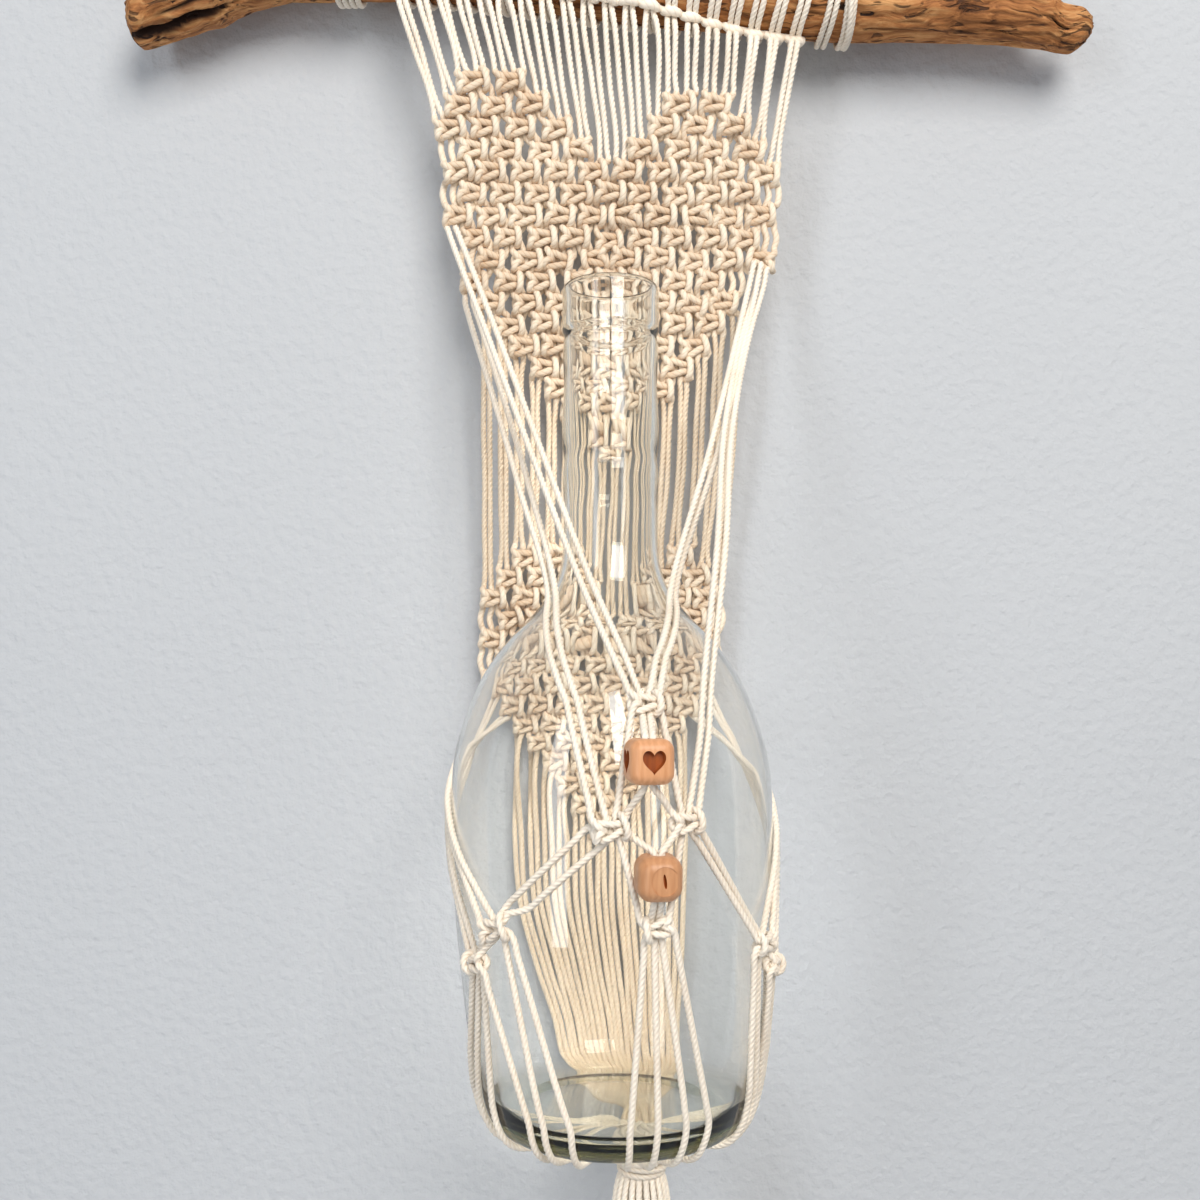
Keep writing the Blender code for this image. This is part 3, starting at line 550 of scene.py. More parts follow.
def heartPath(heart, jigs, lane):
    # one cord's way through a heart, or nothing where the heart leaves it out
    pair, path = lane // 2, []
    kept = keptPairs(heart["rows"])
    inside = [r for r, pairs in enumerate(kept) if pair in pairs]
    if not inside:
        return path
    for r in range(inside[0], inside[-1] + 1):
        high = heart["top"] - heart["rise"] * r
        middle = high - heart["rise"] / 2
        path.append((laneX(lane, high, -0.7 if r > inside[0] else 0), panelDepth(high), high))
        knot = next((k for k in heart["rows"][r] if k in (pair, pair - 1)), None)
        if knot is None:
            out = -1 if pair + 1 in {p for k in heart["rows"][r] for p in (k, k + 1)} else 1
            edge = (lane % 2 == 0) == (out < 0)
            x = laneX(lane, middle) + out * (1.7 if edge else 0.9)
            path.append((x, panelDepth(middle) - (0.4 if edge else 0), middle))
            continue
        side, jig, drift = jigs[r, knot]
        spread = (borderX(knot + 2, middle) - borderX(knot, middle)) / 4 / knotSpan
        centre = np.array((borderX(knot + 1, middle), panelDepth(middle), middle)) + drift
        for x, y, z in knotRun(lane - 2 * knot, side, jig):
            path.append((centre[0] + x * spread, centre[1] + y, centre[2] + z * heart["rise"] / knotRise))
    low = heart["top"] - heart["rise"] * (inside[-1] + 1)
    path.append((laneX(lane, low), panelDepth(low), low))
    return path


# each of the forty cords, from the branch down

def rowAngle(x):  # the row of loops drifts under the branch towards the right
    return float(np.interp(x, (15, 45, 57, 78, 102), (50, 64, 71, 79, 83)))


def branchTurn(lane):
    # up from the row under the branch, round behind it, over the top and down its front
    pair, half = divmod(lane, 2)
    x = rowX(pair + 0.5) + (half - 0.5) * 3.3
    lean = 7 + luck.normal(0, 0.6)
    foot = rowAngle(x)
    path = [onBranch(x, foot - 2, 2.6), onBranch(x + 0.2, foot + 14, 2.6), onBranch(x + 0.5, foot + 28, 1.9)]
    for angle in range(int(foot) + 46, 346, 22):
        path.append(onBranch(x + lean * min(1, (angle - 70) / 120), angle, 1.75 + luck.normal(0, 0.12)))
    for angle in (-2, 16, 32, foot - 16):
        path.append(onBranch(x + lean * max(0, (foot - 12 - angle) / 100), angle, 1.75))
    path += [onBranch(x, foot, 1.7), onBranch(x, foot + 8, 2.6)]
    return path


def hangTo(path, lane, low, close=1.0):
    # straight down in the panel's plane, with a slight wander; the outermost pairs hang closest
    if lane < 6 or lane > 33:
        close = 1.25
    high = path[-1][2] - 7
    count = max(1, int((high - low) / 26))
    for z in np.linspace(high, low, count + 1):
        path.append((laneX(lane, z, close) + luck.normal(0, 0.22), panelDepth(z) + luck.normal(0, 0.3), z))


upperJigs, lowerJigs = heartJigs(upperHeart), heartJigs(lowerHeart)
netLanes, sideLanes = (0, 1, 2, 3, 36, 37, 38, 39), (4, 5, 6, 7, 32, 33, 34, 35)

# angle, height, side of the bump, turn and size of each knot
netKnots = {
    "k1": (11.6, -392.3, 1, 0, 0.93), "k2": (-0.3, -441.5, 1, 11, 1.0), "k3": (22.2, -439.4, 1, 5, 0.92),
    "k4": (-38.8, -485.8, 1, 14, 1.04), "k5": (-49, -502.5, -1, 12, 0.86), "k6": (12.2, -482.6, -1, 14, 0.86),
    "k7": (54, -495, -1, 4, 0.84), "k8": (61.5, -506.5, 1, -12, 0.8)}
# angle, height, off the glass, turn
beads = {"bead_upper": (9.8, -413.4, 14.0, 12), "bead_lower": (11.8, -460.8, 11.2, 9)}
beadAt = {name: onBottle(*place[:3]) for name, place in beads.items()}


def netFrame(angle, z, off):
    # the knot's centre with its right, back and up on the glass
    a = radians(angle)
    out = np.array((sin(a), -cos(a), 0))
    right = np.array((cos(a), sin(a), 0))
    slope = (bottleRadius(z + 6) - bottleRadius(z - 6)) / 12
    up = np.array((0, 0, 1.0)) + out * slope
    up /= np.linalg.norm(up)
    back = np.cross(up, right)
    return onBottle(angle, z, 0) - back * off, right, back, up


def throughNetKnot(name, slot):
    angle, z, side, turn, size = netKnots[name]
    centre, right, back, up = netFrame(angle, z, 4.6)
    run = knotRun(slot, side, (turn, size, 0.85))
    return [centre + right * x + back * y + up * z for x, y, z in run]


def throughBead(name, side):
    at = beadAt[name]
    right = np.array((1.0, 0.2, 0)) / hypot(1, 0.2)
    return [at + right * side * 1.6 + np.array((0, 0, z)) for z in (9.6, 5, -5, -9.6)]


def acrossGlass(path, target):
    # a taut stretch from the path's end to the target, pushed clear of the glass
    a, b = np.asarray(path[-1], float), np.asarray(target, float)
    n = int(np.linalg.norm(b - a) / 9)
    run = np.array([a + (b - a) * i / (n + 1) for i in range(n + 2)])
    for _ in range(30):
        for i in range(1, len(run) - 1):
            run[i] = clearOfGlass((run[i - 1] + run[i + 1]) / 2, 1.65)
    path += list(run[1:-1])
    path.append(b)


# which knots and beads each cord of the net passes, with its place among the knot's four cords, and then the angle
# at which it runs under the base
netRoutes = {
    0: ("k1", 0, "k2", 2, "k6", 0, 4), 1: ("k1", 1, "bead_upper", -1, "k2", 3, "bead_lower", -1, "k6", 1, 14.2),
    2: ("k2", 0, "k4", 2, -29), 3: ("k2", 1, "k4", 3, -18),
    36: ("k1", 2, "bead_upper", 1, "k3", 0, "bead_lower", 1, "k6", 2, 25.5), 37: ("k1", 3, "k3", 1, "k6", 3, 35.5),
    38: ("k3", 2, "k7", 0, 60), 39: ("k3", 3, "k7", 1, 66),
    4: ("k5", 0, -80), 5: ("k5", 1, -69), 6: ("k4", 0, "k5", 2, -56), 7: ("k4", 1, "k5", 3, -35.5),
    32: ("k7", 2, "k8", 0, 72), 33: ("k7", 3, "k8", 1, 78), 34: ("k8", 2, 84), 35: ("k8", 3, 90)}
netStarts = {  # how far apart each pair runs, its middle on its way from the panel, then where it crosses the glass
    0: (5.0, ((-82.2, -33.5, -146), (-79.6, -37, -153), (-60, -62, -205), (-35, -94, -273)),
        ((-13, -344.5), (4, -372))),
    2: (4.8, ((-73.5, -29, -184), (-71.6, -32, -190), (-58, -54, -233), (-42, -82, -286)),
        ((-53.4, -343.7), (-14.8, -389))),
    36: (4.2, ((77, -33, -164), (75.6, -34.5, -171), (67, -50, -206), (50.5, -85, -268)),
         ((58, -343.6), (22, -371))),
    38: (3.7, ((81, -31, -166), (79, -33, -174), (70, -48, -203), (56.5, -86, -262), (49.1, -130, -321)),
         ((38.3, -387.9),))}
bundleRings = ((2.6, 6, 0), (5.7, 13, 0.3), (8.8, 21, 0.6))  # radius, cords and shift of each ring in the gather
bundleSpots = [(r, tau * (k + shift) / n) for r, n, shift in bundleRings for k in range(n)]
frontSpots = sorted(range(40), key=lambda i: bundleSpots[i][0] * cos(bundleSpots[i][1]), reverse=True)


def bundleSpot(i, z, swell):
    r, a = bundleSpots[i]
    return np.array((hub[0] + r * swell * sin(a), hub[1] - r * swell * cos(a), z))


# what the two cords between k2 and k4 pass on the glass, as angle and height, so that they run apart
netGuides = {2: ((-7.3, -441.2), (-36.6, -476.8)), 3: ((-3.4, -448.6), (-28.5, -477))}


def netPath(path, lane):
    mate = lane % 2
    across = (mate - 0.5) * 5.0
    if lane in netStarts or lane - 1 in netStarts:
        apart, free, touching = netStarts[lane - mate]
        across = (mate - 0.5) * apart
        for n, place in enumerate(free):
            tilt = 0.12 if lane < 20 else -0.12
            path.append(np.array(place) + (across * min(1, 0.86 + 0.06 * n), 0, across * tilt))
        for n, (angle, z) in enumerate(touching):
            a = radians(angle)
            spot = onBottle(angle, z, 1.7) + np.array((cos(a), sin(a), 0)) * across / max(0.75, cos(a))
            if n:
                acrossGlass(path, clearOfGlass(spot))
            else:
                path.append(clearOfGlass(spot))
    else:
        side = -1 if lane < 20 else 1
        lift = (0 if lane in (6, 7, 32, 33) else 9) + (12 if side > 0 else 0)
        for angle, z in ((106, -416 - lift), (84, -438 - lift * 1.2)):
            acrossGlass(path, onBottle(side * angle, z - side * across * 0.7, 1.8))
    route = netRoutes[lane]
    for name, slot in zip(route[:-1:2], route[1:-1:2]):
        run = throughBead(name, slot) if name in beads else throughNetKnot(name, slot)
        if name == "k4" and lane in netGuides:
            leaving, nearing = [onBottle(*spot, 1.9) for spot in netGuides[lane]]
            path.append(leaving)
            acrossGlass(path, nearing)
        acrossGlass(path, run[0])
        path += run[1:]
    foot = route[-1]
    acrossGlass(path, onBottle(foot, -572, 1.7))
    path += [onBottle(foot, -582, 1.8), onBottle(foot, -588.2, 1.9)]
    path += [aboutAxis(foot, r, z) for r, z in ((53.6, -592), (49, -592.9), (32, -595.4))]


# how far apart the pairs run behind the bottle, their middle, depth and height
backRows = (
    (8.2, -5, -8.4, -470), (7.9, -4.6, -8.5, -500), (6.9, -0.3, -8.8, -536), (5.9, 4, -9.5, -566),
    (5.5, 6, -12.5, -584), (4.9, 8, -22, -594), (3.2, 10.5, -45, -599))


def backPath(path, lane):
    # behind the bottle, under its base and to the gather
    pair, half = divmod(lane, 2)
    place, side = pair - 9.5, half - 0.5
    for spread, middle, y, z in backRows:
        x = middle + (place + side * 0.48) * spread + luck.normal(0, 0.3)
        path.append(np.array((x, y + luck.normal(0, 0.25), z)))


lanes, pairing = [], luck.normal(0, 0.35, 20)
for lane in range(40):
    path = branchTurn(lane)
    cuts = {"turn": len(path) - 1}
    upper = heartPath(upperHeart, upperJigs, lane)
    hangTo(path, lane, upper[0][2] + 6, 0.35 + pairing[lane // 2])
    cuts["upper"] = len(path)
    path += upper
    cuts["middle"] = len(path) - 1
    if lane in netLanes:
        netPath(path, lane)
    else:
        lower = heartPath(lowerHeart, lowerJigs, lane)
        hangTo(path, lane, lower[0][2] + 6)
        cuts["lower"] = len(path)
        path += lower
        cuts["foot"] = len(path) - 1
        (netPath if lane in sideLanes else backPath)(path, lane)
    lanes.append((lane, path, cuts))

# each cord takes the nearest free place in the bundle, the net's cords at the front
taken = {}
order = sorted(lanes, key=lambda item: (item[0] not in netLanes and item[0] not in sideLanes, item[1][-1][0]))
for n, (lane, path, cuts) in enumerate(order):
    group = frontSpots[:16] if n < 16 else frontSpots[16:]
    free = [s for s in group if s not in taken]
    spot = min(free, key=lambda s: abs(bundleSpot(s, 0, 1.0)[0] - hub[0] - (path[-1][0] - hub[0]) * 0.2))
    taken[spot] = lane
    path.append(bundleSpot(spot, hub[2] + 2.5, 1.0))
    path.append(bundleSpot(spot, hub[2] - 6, 0.97))

ivory, shadedBeige, shadedWheat = [cottonLook(tone + "Cotton", tone) for tone in ("ivory", "shadedBeige", "shadedWheat")]
turns, upperCords, upperKnots = Spool(), Spool(), Spool(False, cordSize["knotSides"])
middleCords, lowerKnots, backCords, netCords = Spool(), Spool(False, cordSize["knotSides"]), Spool(), Spool()


def layStretch(spool, path, first, last, step, radius=None):
    # the stretch between two of the path's points, curved as the whole path is
    low, high = max(0, first - 3), min(len(path), last + 4)
    run, at, marks = smoothRun(path[low:high], step)
    a, b = marks[first - low], marks[min(last, len(path) - 1) - low]
    spool.wind(run[(at >= a - step * 0.5) & (at <= b + step * 0.5)], radius)


for lane, path, cuts in lanes:
    layStretch(turns, path, 0, cuts["turn"], cordSize["turnStep"])
    layStretch(upperCords, path, cuts["turn"], cuts["upper"], cordSize["step"])
    layStretch(upperKnots, path, cuts["upper"], cuts["middle"], cordSize["knotStep"], cordSize["knotRadius"])
    if lane in netLanes:
        layStretch(netCords, path, cuts["middle"], len(path) - 1, cordSize["step"])
    else:
        layStretch(middleCords, path, cuts["middle"], cuts["lower"], cordSize["step"])
        layStretch(lowerKnots, path, cuts["lower"], cuts["foot"], cordSize["knotStep"], cordSize["knotRadius"] * 0.94)
        layStretch(netCords if lane in sideLanes else backCords, path, cuts["foot"], len(path) - 1,
                   cordSize["step"] if lane in sideLanes else cordSize["backStep"])
turnPiece = turns.finish("branchTurns", ivory)
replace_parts(turnPiece, "panel")
upperCords.finish("upperCords", ivory)
# the hearts and the middle and back cords take darker tones of the same cotton, as painted shade
upperKnots.finish("upperHeart", shadedBeige)
middleCords.finish("middleCords", shadedWheat)
lowerKnots.finish("lowerHeart", shadedBeige)
backCords.finish("backCords", shadedWheat)
netPiece = netCords.finish("netCords", ivory)
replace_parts(netPiece, "net")


# row under the branch, wraps, gather and tassel

rowBars = {"sides": 12, "holder": 1.4, "bar": 2.4, "thinnest": 0.62, "across": (
    # x, angle below the row, how far it tips, off the branch
    (-4.5, 6, 1, 1.4), (-3.7, 3, 1, 3.0), (-1.6, 0, 0, 3.9), (1.6, 0, 0, 3.9), (3.7, 3, -1, 3.0), (4.5, 6, -1, 1.4))}


def makeRow():
    # each pair's loop is drawn tight under the branch and lies across it as a short bar
    row = Spool(False, rowBars["sides"])
    holder = [onBranch(x, rowAngle(x) + 4, 1.6) for x in np.linspace(rowEnds[0], rowEnds[1] - 2, 60)]
    row.wind(smoothRun(holder, 1.2)[0], rowBars["holder"])
    for pair in range(pairCount):
        x = rowX(pair + 0.5) + luck.normal(0, 0.25)
        tip, foot = luck.normal(0, 2.5) - 2, rowAngle(x)
        path = [onBranch(x + dx, foot + below + tip * tips, off) for dx, below, tips, off in rowBars["across"]]
        run = smoothRun(path, 1.1)[0]
        swell = (1 - rowBars["thinnest"]) * np.sin(np.linspace(0, pi, len(run))) ** 0.7
        row.wind(run, rowBars["bar"], taper=rowBars["thinnest"] + swell)
    row.finish("rowKnots", ivory)


wraps = {  # where each turn crosses the bottom of the branch, its front and its top, and its lift over other turns
    "wrap_left": (
        (-142.6, -141.5, -140, 0), (-139.2, -138.4, -137, 0), (-135.8, -135, -134, 0), (-132.4, -131.8, -131, 0)),
    "wrap_right": (
        (109.9, 113.4, 116.5, 0), (113.3, 116.8, 119.8, 0), (121.4, 121.6, 123.4, 0), (124.8, 125.0, 126.6, 0),
        (123.4, 122.8, 129.6, 2.7))}


def makeWraps():
    for name, turns in wraps.items():
        wrap = Spool()
        for low, front, high, lift in turns:
            back = (low + high) / 2
            across = ((180, back), (135, (low + back) / 2), (100, low), (75, low * 0.9 + front * 0.1),
                      (48, (low + front) / 2), (20, front), (-10, front * 0.7 + high * 0.3), (-50, high),
                      (-110, high), (-180, back))
            path = [onBranch(x, angle, 1.6 + lift * (-20 < angle < 80)) for angle, x in across]
            wrap.wind(smoothRun(path, 1.1)[0])
        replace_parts(wrap.finish(name + "_cords", ivory), name)


gatherTurns = {"radii": (11.9, 11.2, 10.4), "top": -606.3, "apart": 2.7, "tilt": 0.7, "cord": 1.6}


def makeGather():
    gather = Spool()
    for turn, radius in enumerate(gatherTurns["radii"]):
        path = []
        for step in range(27):  # a little more than once round, so that the ends overlap
            a = tau * step / 24 + turn * 2.0
            r = radius + 0.3 * sin(2 * a + turn)
            z = gatherTurns["top"] - gatherTurns["apart"] * turn
            z += gatherTurns["tilt"] * sin(a + 1 + turn * 1.7) - 0.04 * step
            path.append((hub[0] + r * sin(a), hub[1] - r * cos(a), z))
        gather.wind(smoothRun(path, 0.95)[0], gatherTurns["cord"])
    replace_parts(gather.finish("gatherCord", ivory), "gathering_wrap")


tasselShape = {"end": -786, "uneven": 8, "outerLonger": 9, "cord": 1.5, "ply": 0.75, "step": 1.8,
               "heights": (-603, -608, -612, -616, -622, -630, -642, -665, -695, -725, -752)}


def makeTassel():
    tassel, plies = Spool(), Spool(False, 6)
    for i, (r, a) in enumerate(bundleSpots):
        reach = r / bundleRings[-1][0]
        end = tasselShape["end"] - tasselShape["uneven"] * sin(2.3 * i) - tasselShape["outerLonger"] * reach
        end += luck.normal(0, 1.5)
        swing, wave = luck.normal(0, 1.4), luck.uniform(0, tau)
        path = []
        for z in (*tasselShape["heights"], end + 12):
            t = (-612 - z) / 180
            swell = 0.97 if t < 0 else 0.97 + 0.5 * (1 - exp(-t * 22)) + 0.36 * t * (1 + 0.5 * sin(5.1 * i))
            drift = max(0, t) * swing + max(0, t) * 1.6 * sin(4 * t + wave)
            at = bundleSpot(i, z, swell)
            path.append(at + (drift, 0.6 * drift * cos(wave), 0))
        run = smoothRun(path, tasselShape["step"])[0]
        tassel.wind(run, tasselShape["cord"])
        foot, down = run[-1], run[-1] - run[-4]
        down /= np.linalg.norm(down)
        for k in range(3):  # the plies open at the cut end
            b = tau * k / 3 + wave
            spread = np.array((cos(b), sin(b), 0))
            frayed = [foot + spread * 0.55 - down * 1.5, foot + spread * 0.9 + down * 3,
                      foot + spread * (1.6 + luck.uniform(0, 1)) + down * 8,
                      foot + spread * (1.8 + luck.uniform(0, 2.2)) + down * luck.uniform(11, 14)]
            plies.wind(smoothRun(frayed, 1.6)[0], tasselShape["ply"])
    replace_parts(tassel.finish("tasselCords", ivory), "tassel")
    plies.finish("tasselEnds", ivory)


makeRow()
makeWraps()
makeGather()
makeTassel()


# driftwood

driftwood = {
    "steps": 320, "sides": 112, "end": 250,
    # cracks: start and end x, angle, depth, half width, all in mm but the angle in degrees
    "cracks": (
        (219, 243, 24, 1.8, 0.8), (244, 260, 70, 4.5, 1.6), (150, 190, -12, 1.3, 0.8), (168, 222, 32, 1.2, 0.7),
        (128, 160, 20, 1.0, 0.7), (196, 226, 4, 1.3, 0.8), (140, 172, 44, 1.1, 0.7), (176, 214, 52, 1.2, 0.7),
        (228, 250, 5, 1.2, 0.7), (200, 240, 62, 1.2, 0.7), (-264, -198, 71, 9.0, 3.2), (-236, -186, 48, 3.4, 1.5),
        (-226, -170, 30, 2.0, 1.0), (-246, -205, 4, 1.6, 0.9), (-205, -165, 38, 1.6, 0.8), (-200, -150, -8, 1.4, 0.9),
        (-60, 20, -60, 2.0, 1.2), (20, 90, -100, 2.4, 1.3), (-180, -60, -120, 2.2, 1.2), (60, 180, 150, 2.2, 1.3),
        (-150, -20, 170, 2.0, 1.2))}


def crackDepth(x, a, radius):
    deep = 0.0
    for x0, x1, angle, depth, half in driftwood["cracks"]:
        if x0 < x < x1:
            share = sin(pi * (x - x0) / (x1 - x0)) ** 0.5
            wander = 3.0 * noise.noise(Vector((x * 0.05, angle, 0)))
            off = ((degrees(a) - angle + 180) % 360 - 180) * pi * radius / 180 - wander
            deep = max(deep, depth * share * max(0, 1 - abs(off) / (half * (0.4 + share))))
    return deep


def tubeFaces(rings, sides):
    around = [(k, (k + 1) % sides) for k in range(sides)]
    starts = range(0, (rings - 1) * sides, sides)
    return [(i + a, i + b, i + b + sides, i + a + sides) for i in starts for a, b in around]


def meshOf(name, points, faces):
    # a mesh from points in millimetres, its faces turned outward
    mesh = bpy.data.meshes.new(name)
    mesh.from_pydata((np.array(points) * 0.001).tolist(), [], faces)
    work = bmesh.new()
    work.from_mesh(mesh)
    bmesh.ops.recalc_face_normals(work, faces=work.faces)
    work.to_mesh(mesh)
    work.free()
    return mesh


def barkAt(x, a, radius):
    # how far the wood reaches at this place and angle, and how hollow it is there, for painted shade in its cracks and
    # gouges, darker towards the ends
    dy, dz = -cos(a), -sin(a)
    end = max(0.0, (abs(x) - 244) / 6)
    lump = noise.fractal(Vector((x * 0.011, dy * 1.1, dz * 1.1)), 1.0, 2.0, 3) * 0.04
    wave = 0.5 * noise.noise(Vector((x * 0.035, dy * 1.5, dz * 1.5)))  # the grain wanders
    ridge = noise.fractal(Vector((x * 0.022, dy * 4.5 + wave, dz * 4.5 - wave)), 0.9, 2.1, 4)
    fine = noise.noise(Vector((x * 0.07, dy * 19 + wave * 4, dz * 19)))
    gouge = max(0.0, noise.noise(Vector((x * 0.045 + 7, dy * 8 + wave * 2, dz * 8))) - 0.24)
    deep = crackDepth(x, a, radius)
    lobe = max(0.0, x - 243) * max(0.0, -dz - 0.35) * 0.9  # the lower lip of the right end stops short
    r = radius * (0.99 + lump) + ridge * 0.9 + fine * 0.42 - (0.45 + gouge * 3.6 + deep + lobe)
    r = min(r, radius + 0.2) * sqrt(max(0.02, 1 - 0.32 * end ** 2.4))
    return r, min(1, deep * 0.45 + gouge * 1.1 + end ** 3 * 0.25)


def makeDriftwood():
    steps, sides = driftwood["steps"], driftwood["sides"]
    points, hollows = [], []
    for x in np.linspace(-driftwood["end"], driftwood["end"], steps):
        y, z, radius = branchAt(x)
        for k in range(sides):
            a = tau * k / sides
            r, hollow = barkAt(x, a, radius)
            points.append((x, y - r * cos(a), z - r * sin(a)))
            hollows.append(hollow)
    faces = tubeFaces(steps, sides)
    for first, inward in ((0, -1), ((steps - 1) * sides, 1)):  # broken, domed ends
        last = list(range(first, first + sides))
        middle = np.mean([points[i] for i in last], axis=0)
        for share, push in ((0.86, 1.0), (0.6, 1.7), (0.25, 1.9)):
            ring = []
            for n, i in enumerate(last):
                p = middle + (np.array(points[first + n]) - middle) * share
                rough = noise.noise(Vector((p[0], p[1] * 0.35, p[2] * 0.35))) * 1.3
                ring.append(len(points))
                points.append((p[0] + inward * (push + rough), p[1], p[2]))
                hollows.append(0.3 + 0.25 * rough)
            for n in range(sides):
                quad = (last[n], last[(n + 1) % sides], ring[(n + 1) % sides], ring[n])
                faces.append(quad if inward > 0 else quad[::-1])
            last = ring
        faces.append(tuple(last if inward > 0 else last[::-1]))
    mesh = meshOf("driftwoodBranch", points, faces)
    shade = mesh.attributes.new("hollow", "FLOAT", "POINT")
    shade.data.foreach_set("value", np.clip(hollows, 0, 1).astype(np.float32))
    branch = addSmooth("driftwoodBranch", mesh, driftwoodLook())
    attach(branch, "root")
    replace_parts(branch, "branch")
    print("driftwood made:", len(faces) * 2, "triangles")


makeDriftwood()


# beads

beadShape = {"size": 18.8, "hole": 3.3, "round": {"bead_upper": 4.6, "bead_lower": 5.8},
             "heart": 11.3, "heartDeep": 2.6, "markDeep": 0.8, "slitDeep": 2.2}


def prism(name, outline, near, far, shrink):
    # a cutter from an outline in x and z, narrower at its far end
    n = len(outline)
    points = [(x, near, z) for x, z in outline] + [(x * shrink, far, z * shrink) for x, z in outline]
    faces = [tuple(range(n)), tuple(range(2 * n - 1, n - 1, -1))]
    faces += [(i, n + i, n + (i + 1) % n, (i + 1) % n) for i in range(n)]
    return addObject(name, meshOf(name, points, faces))


def carve(piece, cutter):
    cut = piece.modifiers.new("carve", "BOOLEAN")
    cut.operation, cut.solver, cut.object = "DIFFERENCE", "EXACT", cutter
    bpy.context.view_layer.update()
    mesh = bpy.data.meshes.new_from_object(piece.evaluated_get(bpy.context.evaluated_depsgraph_get()))
    piece.modifiers.clear()
    piece.data = mesh
    bpy.data.objects.remove(cutter, do_unlink=True)


def heartOutline(size, count):
    points = []
    for i in range(count):
        t = tau * i / count
        x = 16 * abs(sin(t)) ** 2.6 * copysign(1, sin(t))
        z = 13 * cos(t) - 4.2 * cos(2 * t) - 2 * cos(3 * t) - 0.8 * cos(4 * t) + 2
        points.append((x * size / 34, z * size / 29))
    return points


def makeBead(name, wood, mark, burnt):
    half, softness = beadShape["size"] / 2, beadShape["round"][name]
    work = bmesh.new()
    bmesh.ops.create_cube(work, size=2 * half * 0.001)
    bmesh.ops.subdivide_edges(work, edges=work.edges[:], cuts=23, use_grid_fill=True)
    for vert in work.verts:  # a cube with generously rounded edges and faintly crowned faces
        p = np.array(vert.co) * 1000
        core = np.clip(p, softness - half, half - softness)
        away = p - core
        length = np.linalg.norm(away)
        q = core + away * (softness / length if length > 0 else 1)
        crown = 1 + 0.018 * (1 - (np.linalg.norm(p) / half) ** 2)
        vert.co = Vector(q * crown * 0.001)
    mesh = bpy.data.meshes.new(name + "_wood")
    work.to_mesh(mesh)
    work.free()
    bead = addObject(name + "_wood", mesh)
    mesh.materials.append(wood)
    mesh.materials.append(burnt)
    circle = [(cos(tau * i / 32), sin(tau * i / 32)) for i in range(32)]
    bore = prism("bore", [(c * beadShape["hole"], s * beadShape["hole"]) for c, s in circle], -14, 14, 1.0)
    bore.data.transform(Matrix.Rotation(radians(90), 4, "X"))
    carve(bead, bore)
    for turn in (0, -90, 90, 180):
        if name == "bead_upper":
            outline = heartOutline(beadShape["heart"], 44)
            cutter = prism("cutter", outline, -half - 2, -half + beadShape["heartDeep"], 0.8)
        elif turn in (0, 180):
            outline = [(c * 5.9 + 1.2, s * 6.3) for c, s in circle]
            cutter = prism("cutter", outline, -half - 1, -half + beadShape["markDeep"], 0.96)
        else:
            continue
        cutter.data.materials.append(mark)
        cutter.data.transform(Matrix.Rotation(radians(turn), 4, "Z"))
        carve(bead, cutter)
    if name == "bead_lower":
        outline = [(c * 0.9 + 1.6 - s * 0.5, s * 3.9) for c, s in circle]
        slit = prism("slit", outline, -half - 1, -half + beadShape["slitDeep"], 0.6)
        slit.data.materials.append(burnt)
        carve(bead, slit)
    angle = beads[name][3]
    bead.rotation_euler = (radians(0 if name == "bead_upper" else 4), 0, radians(angle))
    bead.location = beadAt[name] * 0.001
    bead.data.shade_smooth()
    bead.data.set_sharp_from_angle(angle=radians(38))
    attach(bead, "root")
    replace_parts(bead, name)
    print(name, "made")


paleWood = beadLook("paleWood", (0.76, 0.39, 0.2), (0.54, 0.23, 0.09))
warmWood = beadLook("warmWood", (0.62, 0.32, 0.16), (0.44, 0.185, 0.075))
markWood = beadLook("markWood", (0.46, 0.19, 0.08), (0.33, 0.12, 0.045))
burntWood = beadLook("burntWood", (0.34, 0.075, 0.008), (0.2, 0.04, 0.005))
makeBead("bead_upper", paleWood, burntWood, burntWood)
makeBead("bead_lower", warmWood, markWood, burntWood)


# bottle

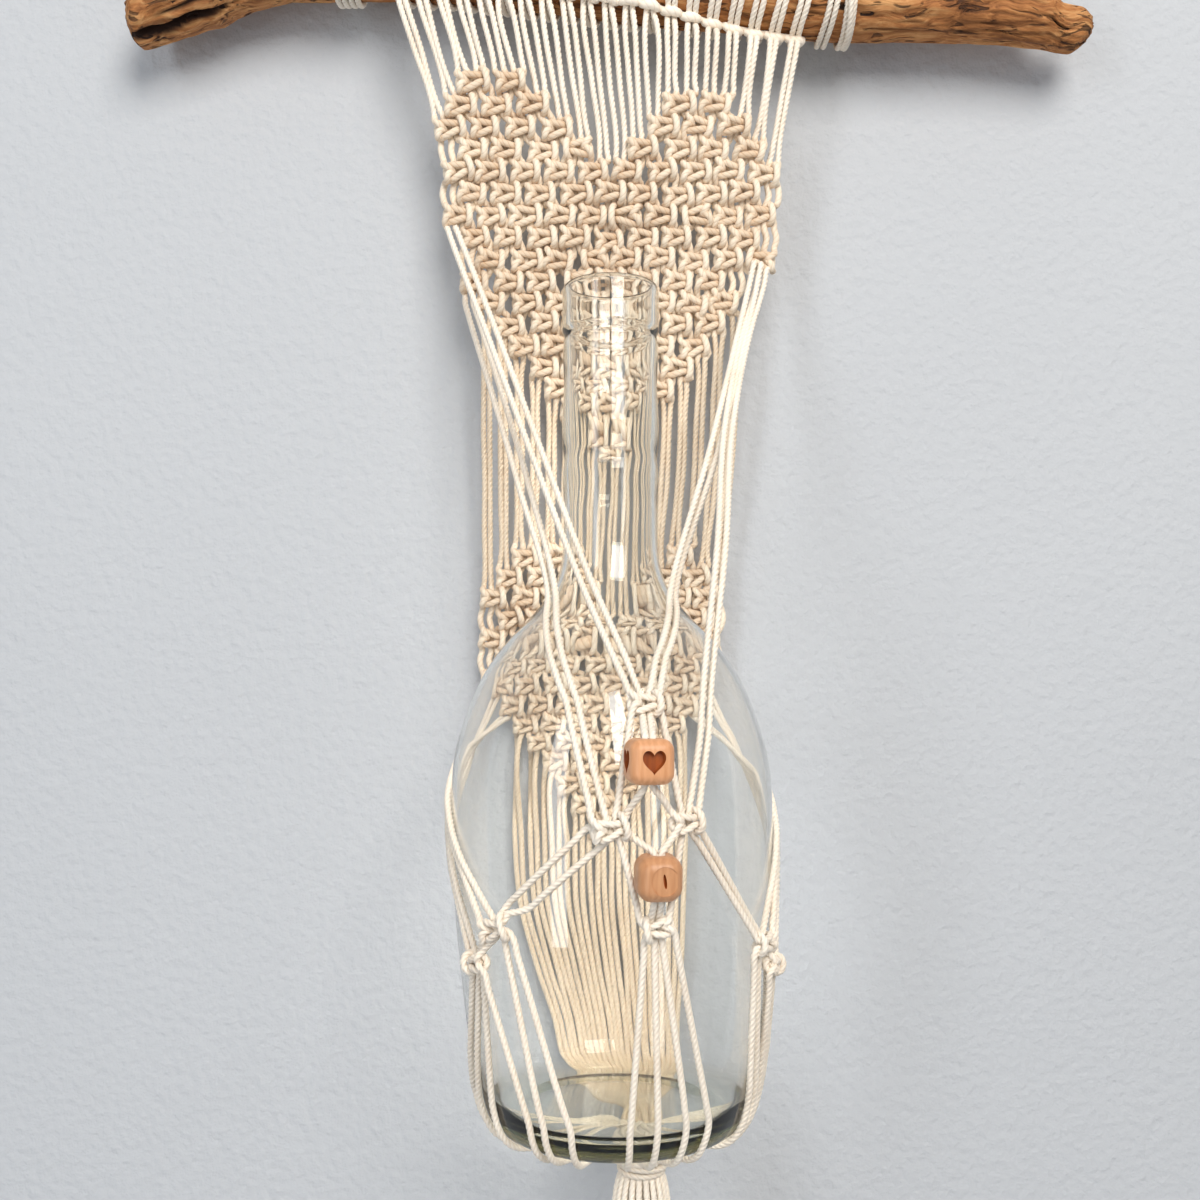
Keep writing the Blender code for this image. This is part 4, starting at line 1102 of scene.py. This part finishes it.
bottleShape = {
    "sides": 144,
    # radius and height of the glass, up the outside from the middle of the base, over the lip and down the inside
    "outside": (
        (0.01, -588.1), (20, -588.4), (38, -589.3), (44.5, -590.3), *bottleBody, (74.9, -424), (73.4, -414),
        (70.6, -404), (67.6, -395), (63.9, -386), (59.6, -377.5), (54.6, -369.8), (49.6, -363.4), (44.4, -357.8),
        (39.4, -352.8), (34.8, -347.6), (30.6, -342.2), (27, -336.6), (24.4, -330), (23, -323), (22.4, -314),
        (22.2, -300), (22.1, -277.6), (21.9, -276.5), (22.1, -275.4), (22.1, -240), (22.1, -220), (21.8, -218.4),
        (22.3, -217.2), (22.8, -216), (22.9, -213), (22.8, -204), (22.8, -198), (22.5, -195.6), (21.7, -194),
        (20.8, -193.6), (20.1, -194.2), (19.8, -196)),
    "inside": (
        (19.7, -199), (19.6, -240), (19.7, -300), (19.9, -314), (20.6, -323), (22.2, -331), (25, -338.2),
        (28.8, -344), (33.2, -349.2), (37.9, -354), (43, -359.2), (48.3, -365.2), (53.3, -371.4), (58, -378.6),
        (62.1, -386.6), (65.9, -395.6), (69, -404.6), (71.6, -415), (72.9, -424.6), (73.4, -434), (73.4, -460),
        (73.1, -480), (72.4, -495), (71.2, -510), (69.4, -530), (67.1, -550), (64.6, -563), (62.4, -571),
        (59.4, -576.4), (54.6, -579.4), (45, -580.4), (24, -579.8), (0.01, -579.2))}


def makeBottle():
    profile = smoothRun([(r, 0, z) for r, z in bottleShape["outside"] + bottleShape["inside"]], 1.5)[0]
    lean = np.diff(profile, axis=0)
    lean /= np.linalg.norm(lean, axis=1)[:, None]
    bend = np.r_[1, gaps(lean), 1]
    profile = profile[(bend > 0.05) | (np.arange(len(profile)) % 3 == 0)]  # fewer rings where the glass is straight
    sides = bottleShape["sides"]
    turn = tau * np.arange(sides) / sides
    rings = [np.stack((axisX(z) + r * np.sin(turn), bottleDepth - r * np.cos(turn), np.full(sides, z)), axis=1)
             for r, _, z in profile[1:-1]]
    poles = [(axisX(z), bottleDepth, z) for z in (profile[0][2], profile[-1][2])]
    points = np.vstack([*rings, poles])
    n = len(rings)
    faces = tubeFaces(n, sides)
    base, floor = n * sides, n * sides + 1
    faces += [(base, (k + 1) % sides, k) for k in range(sides)]
    faces += [(floor, (n - 1) * sides + k, (n - 1) * sides + (k + 1) % sides) for k in range(sides)]
    mesh = bpy.data.meshes.new("glassBottle")
    mesh.from_pydata((points * 0.001).tolist(), [], faces)
    bottle = addSmooth("glassBottle", mesh, glassLook())
    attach(bottle, "root")
    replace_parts(bottle, "bottle")
    bottle.visible_shadow = False  # light reaches the wall through the glass
    print("bottle made:", len(faces) * 2, "triangles")


makeBottle()
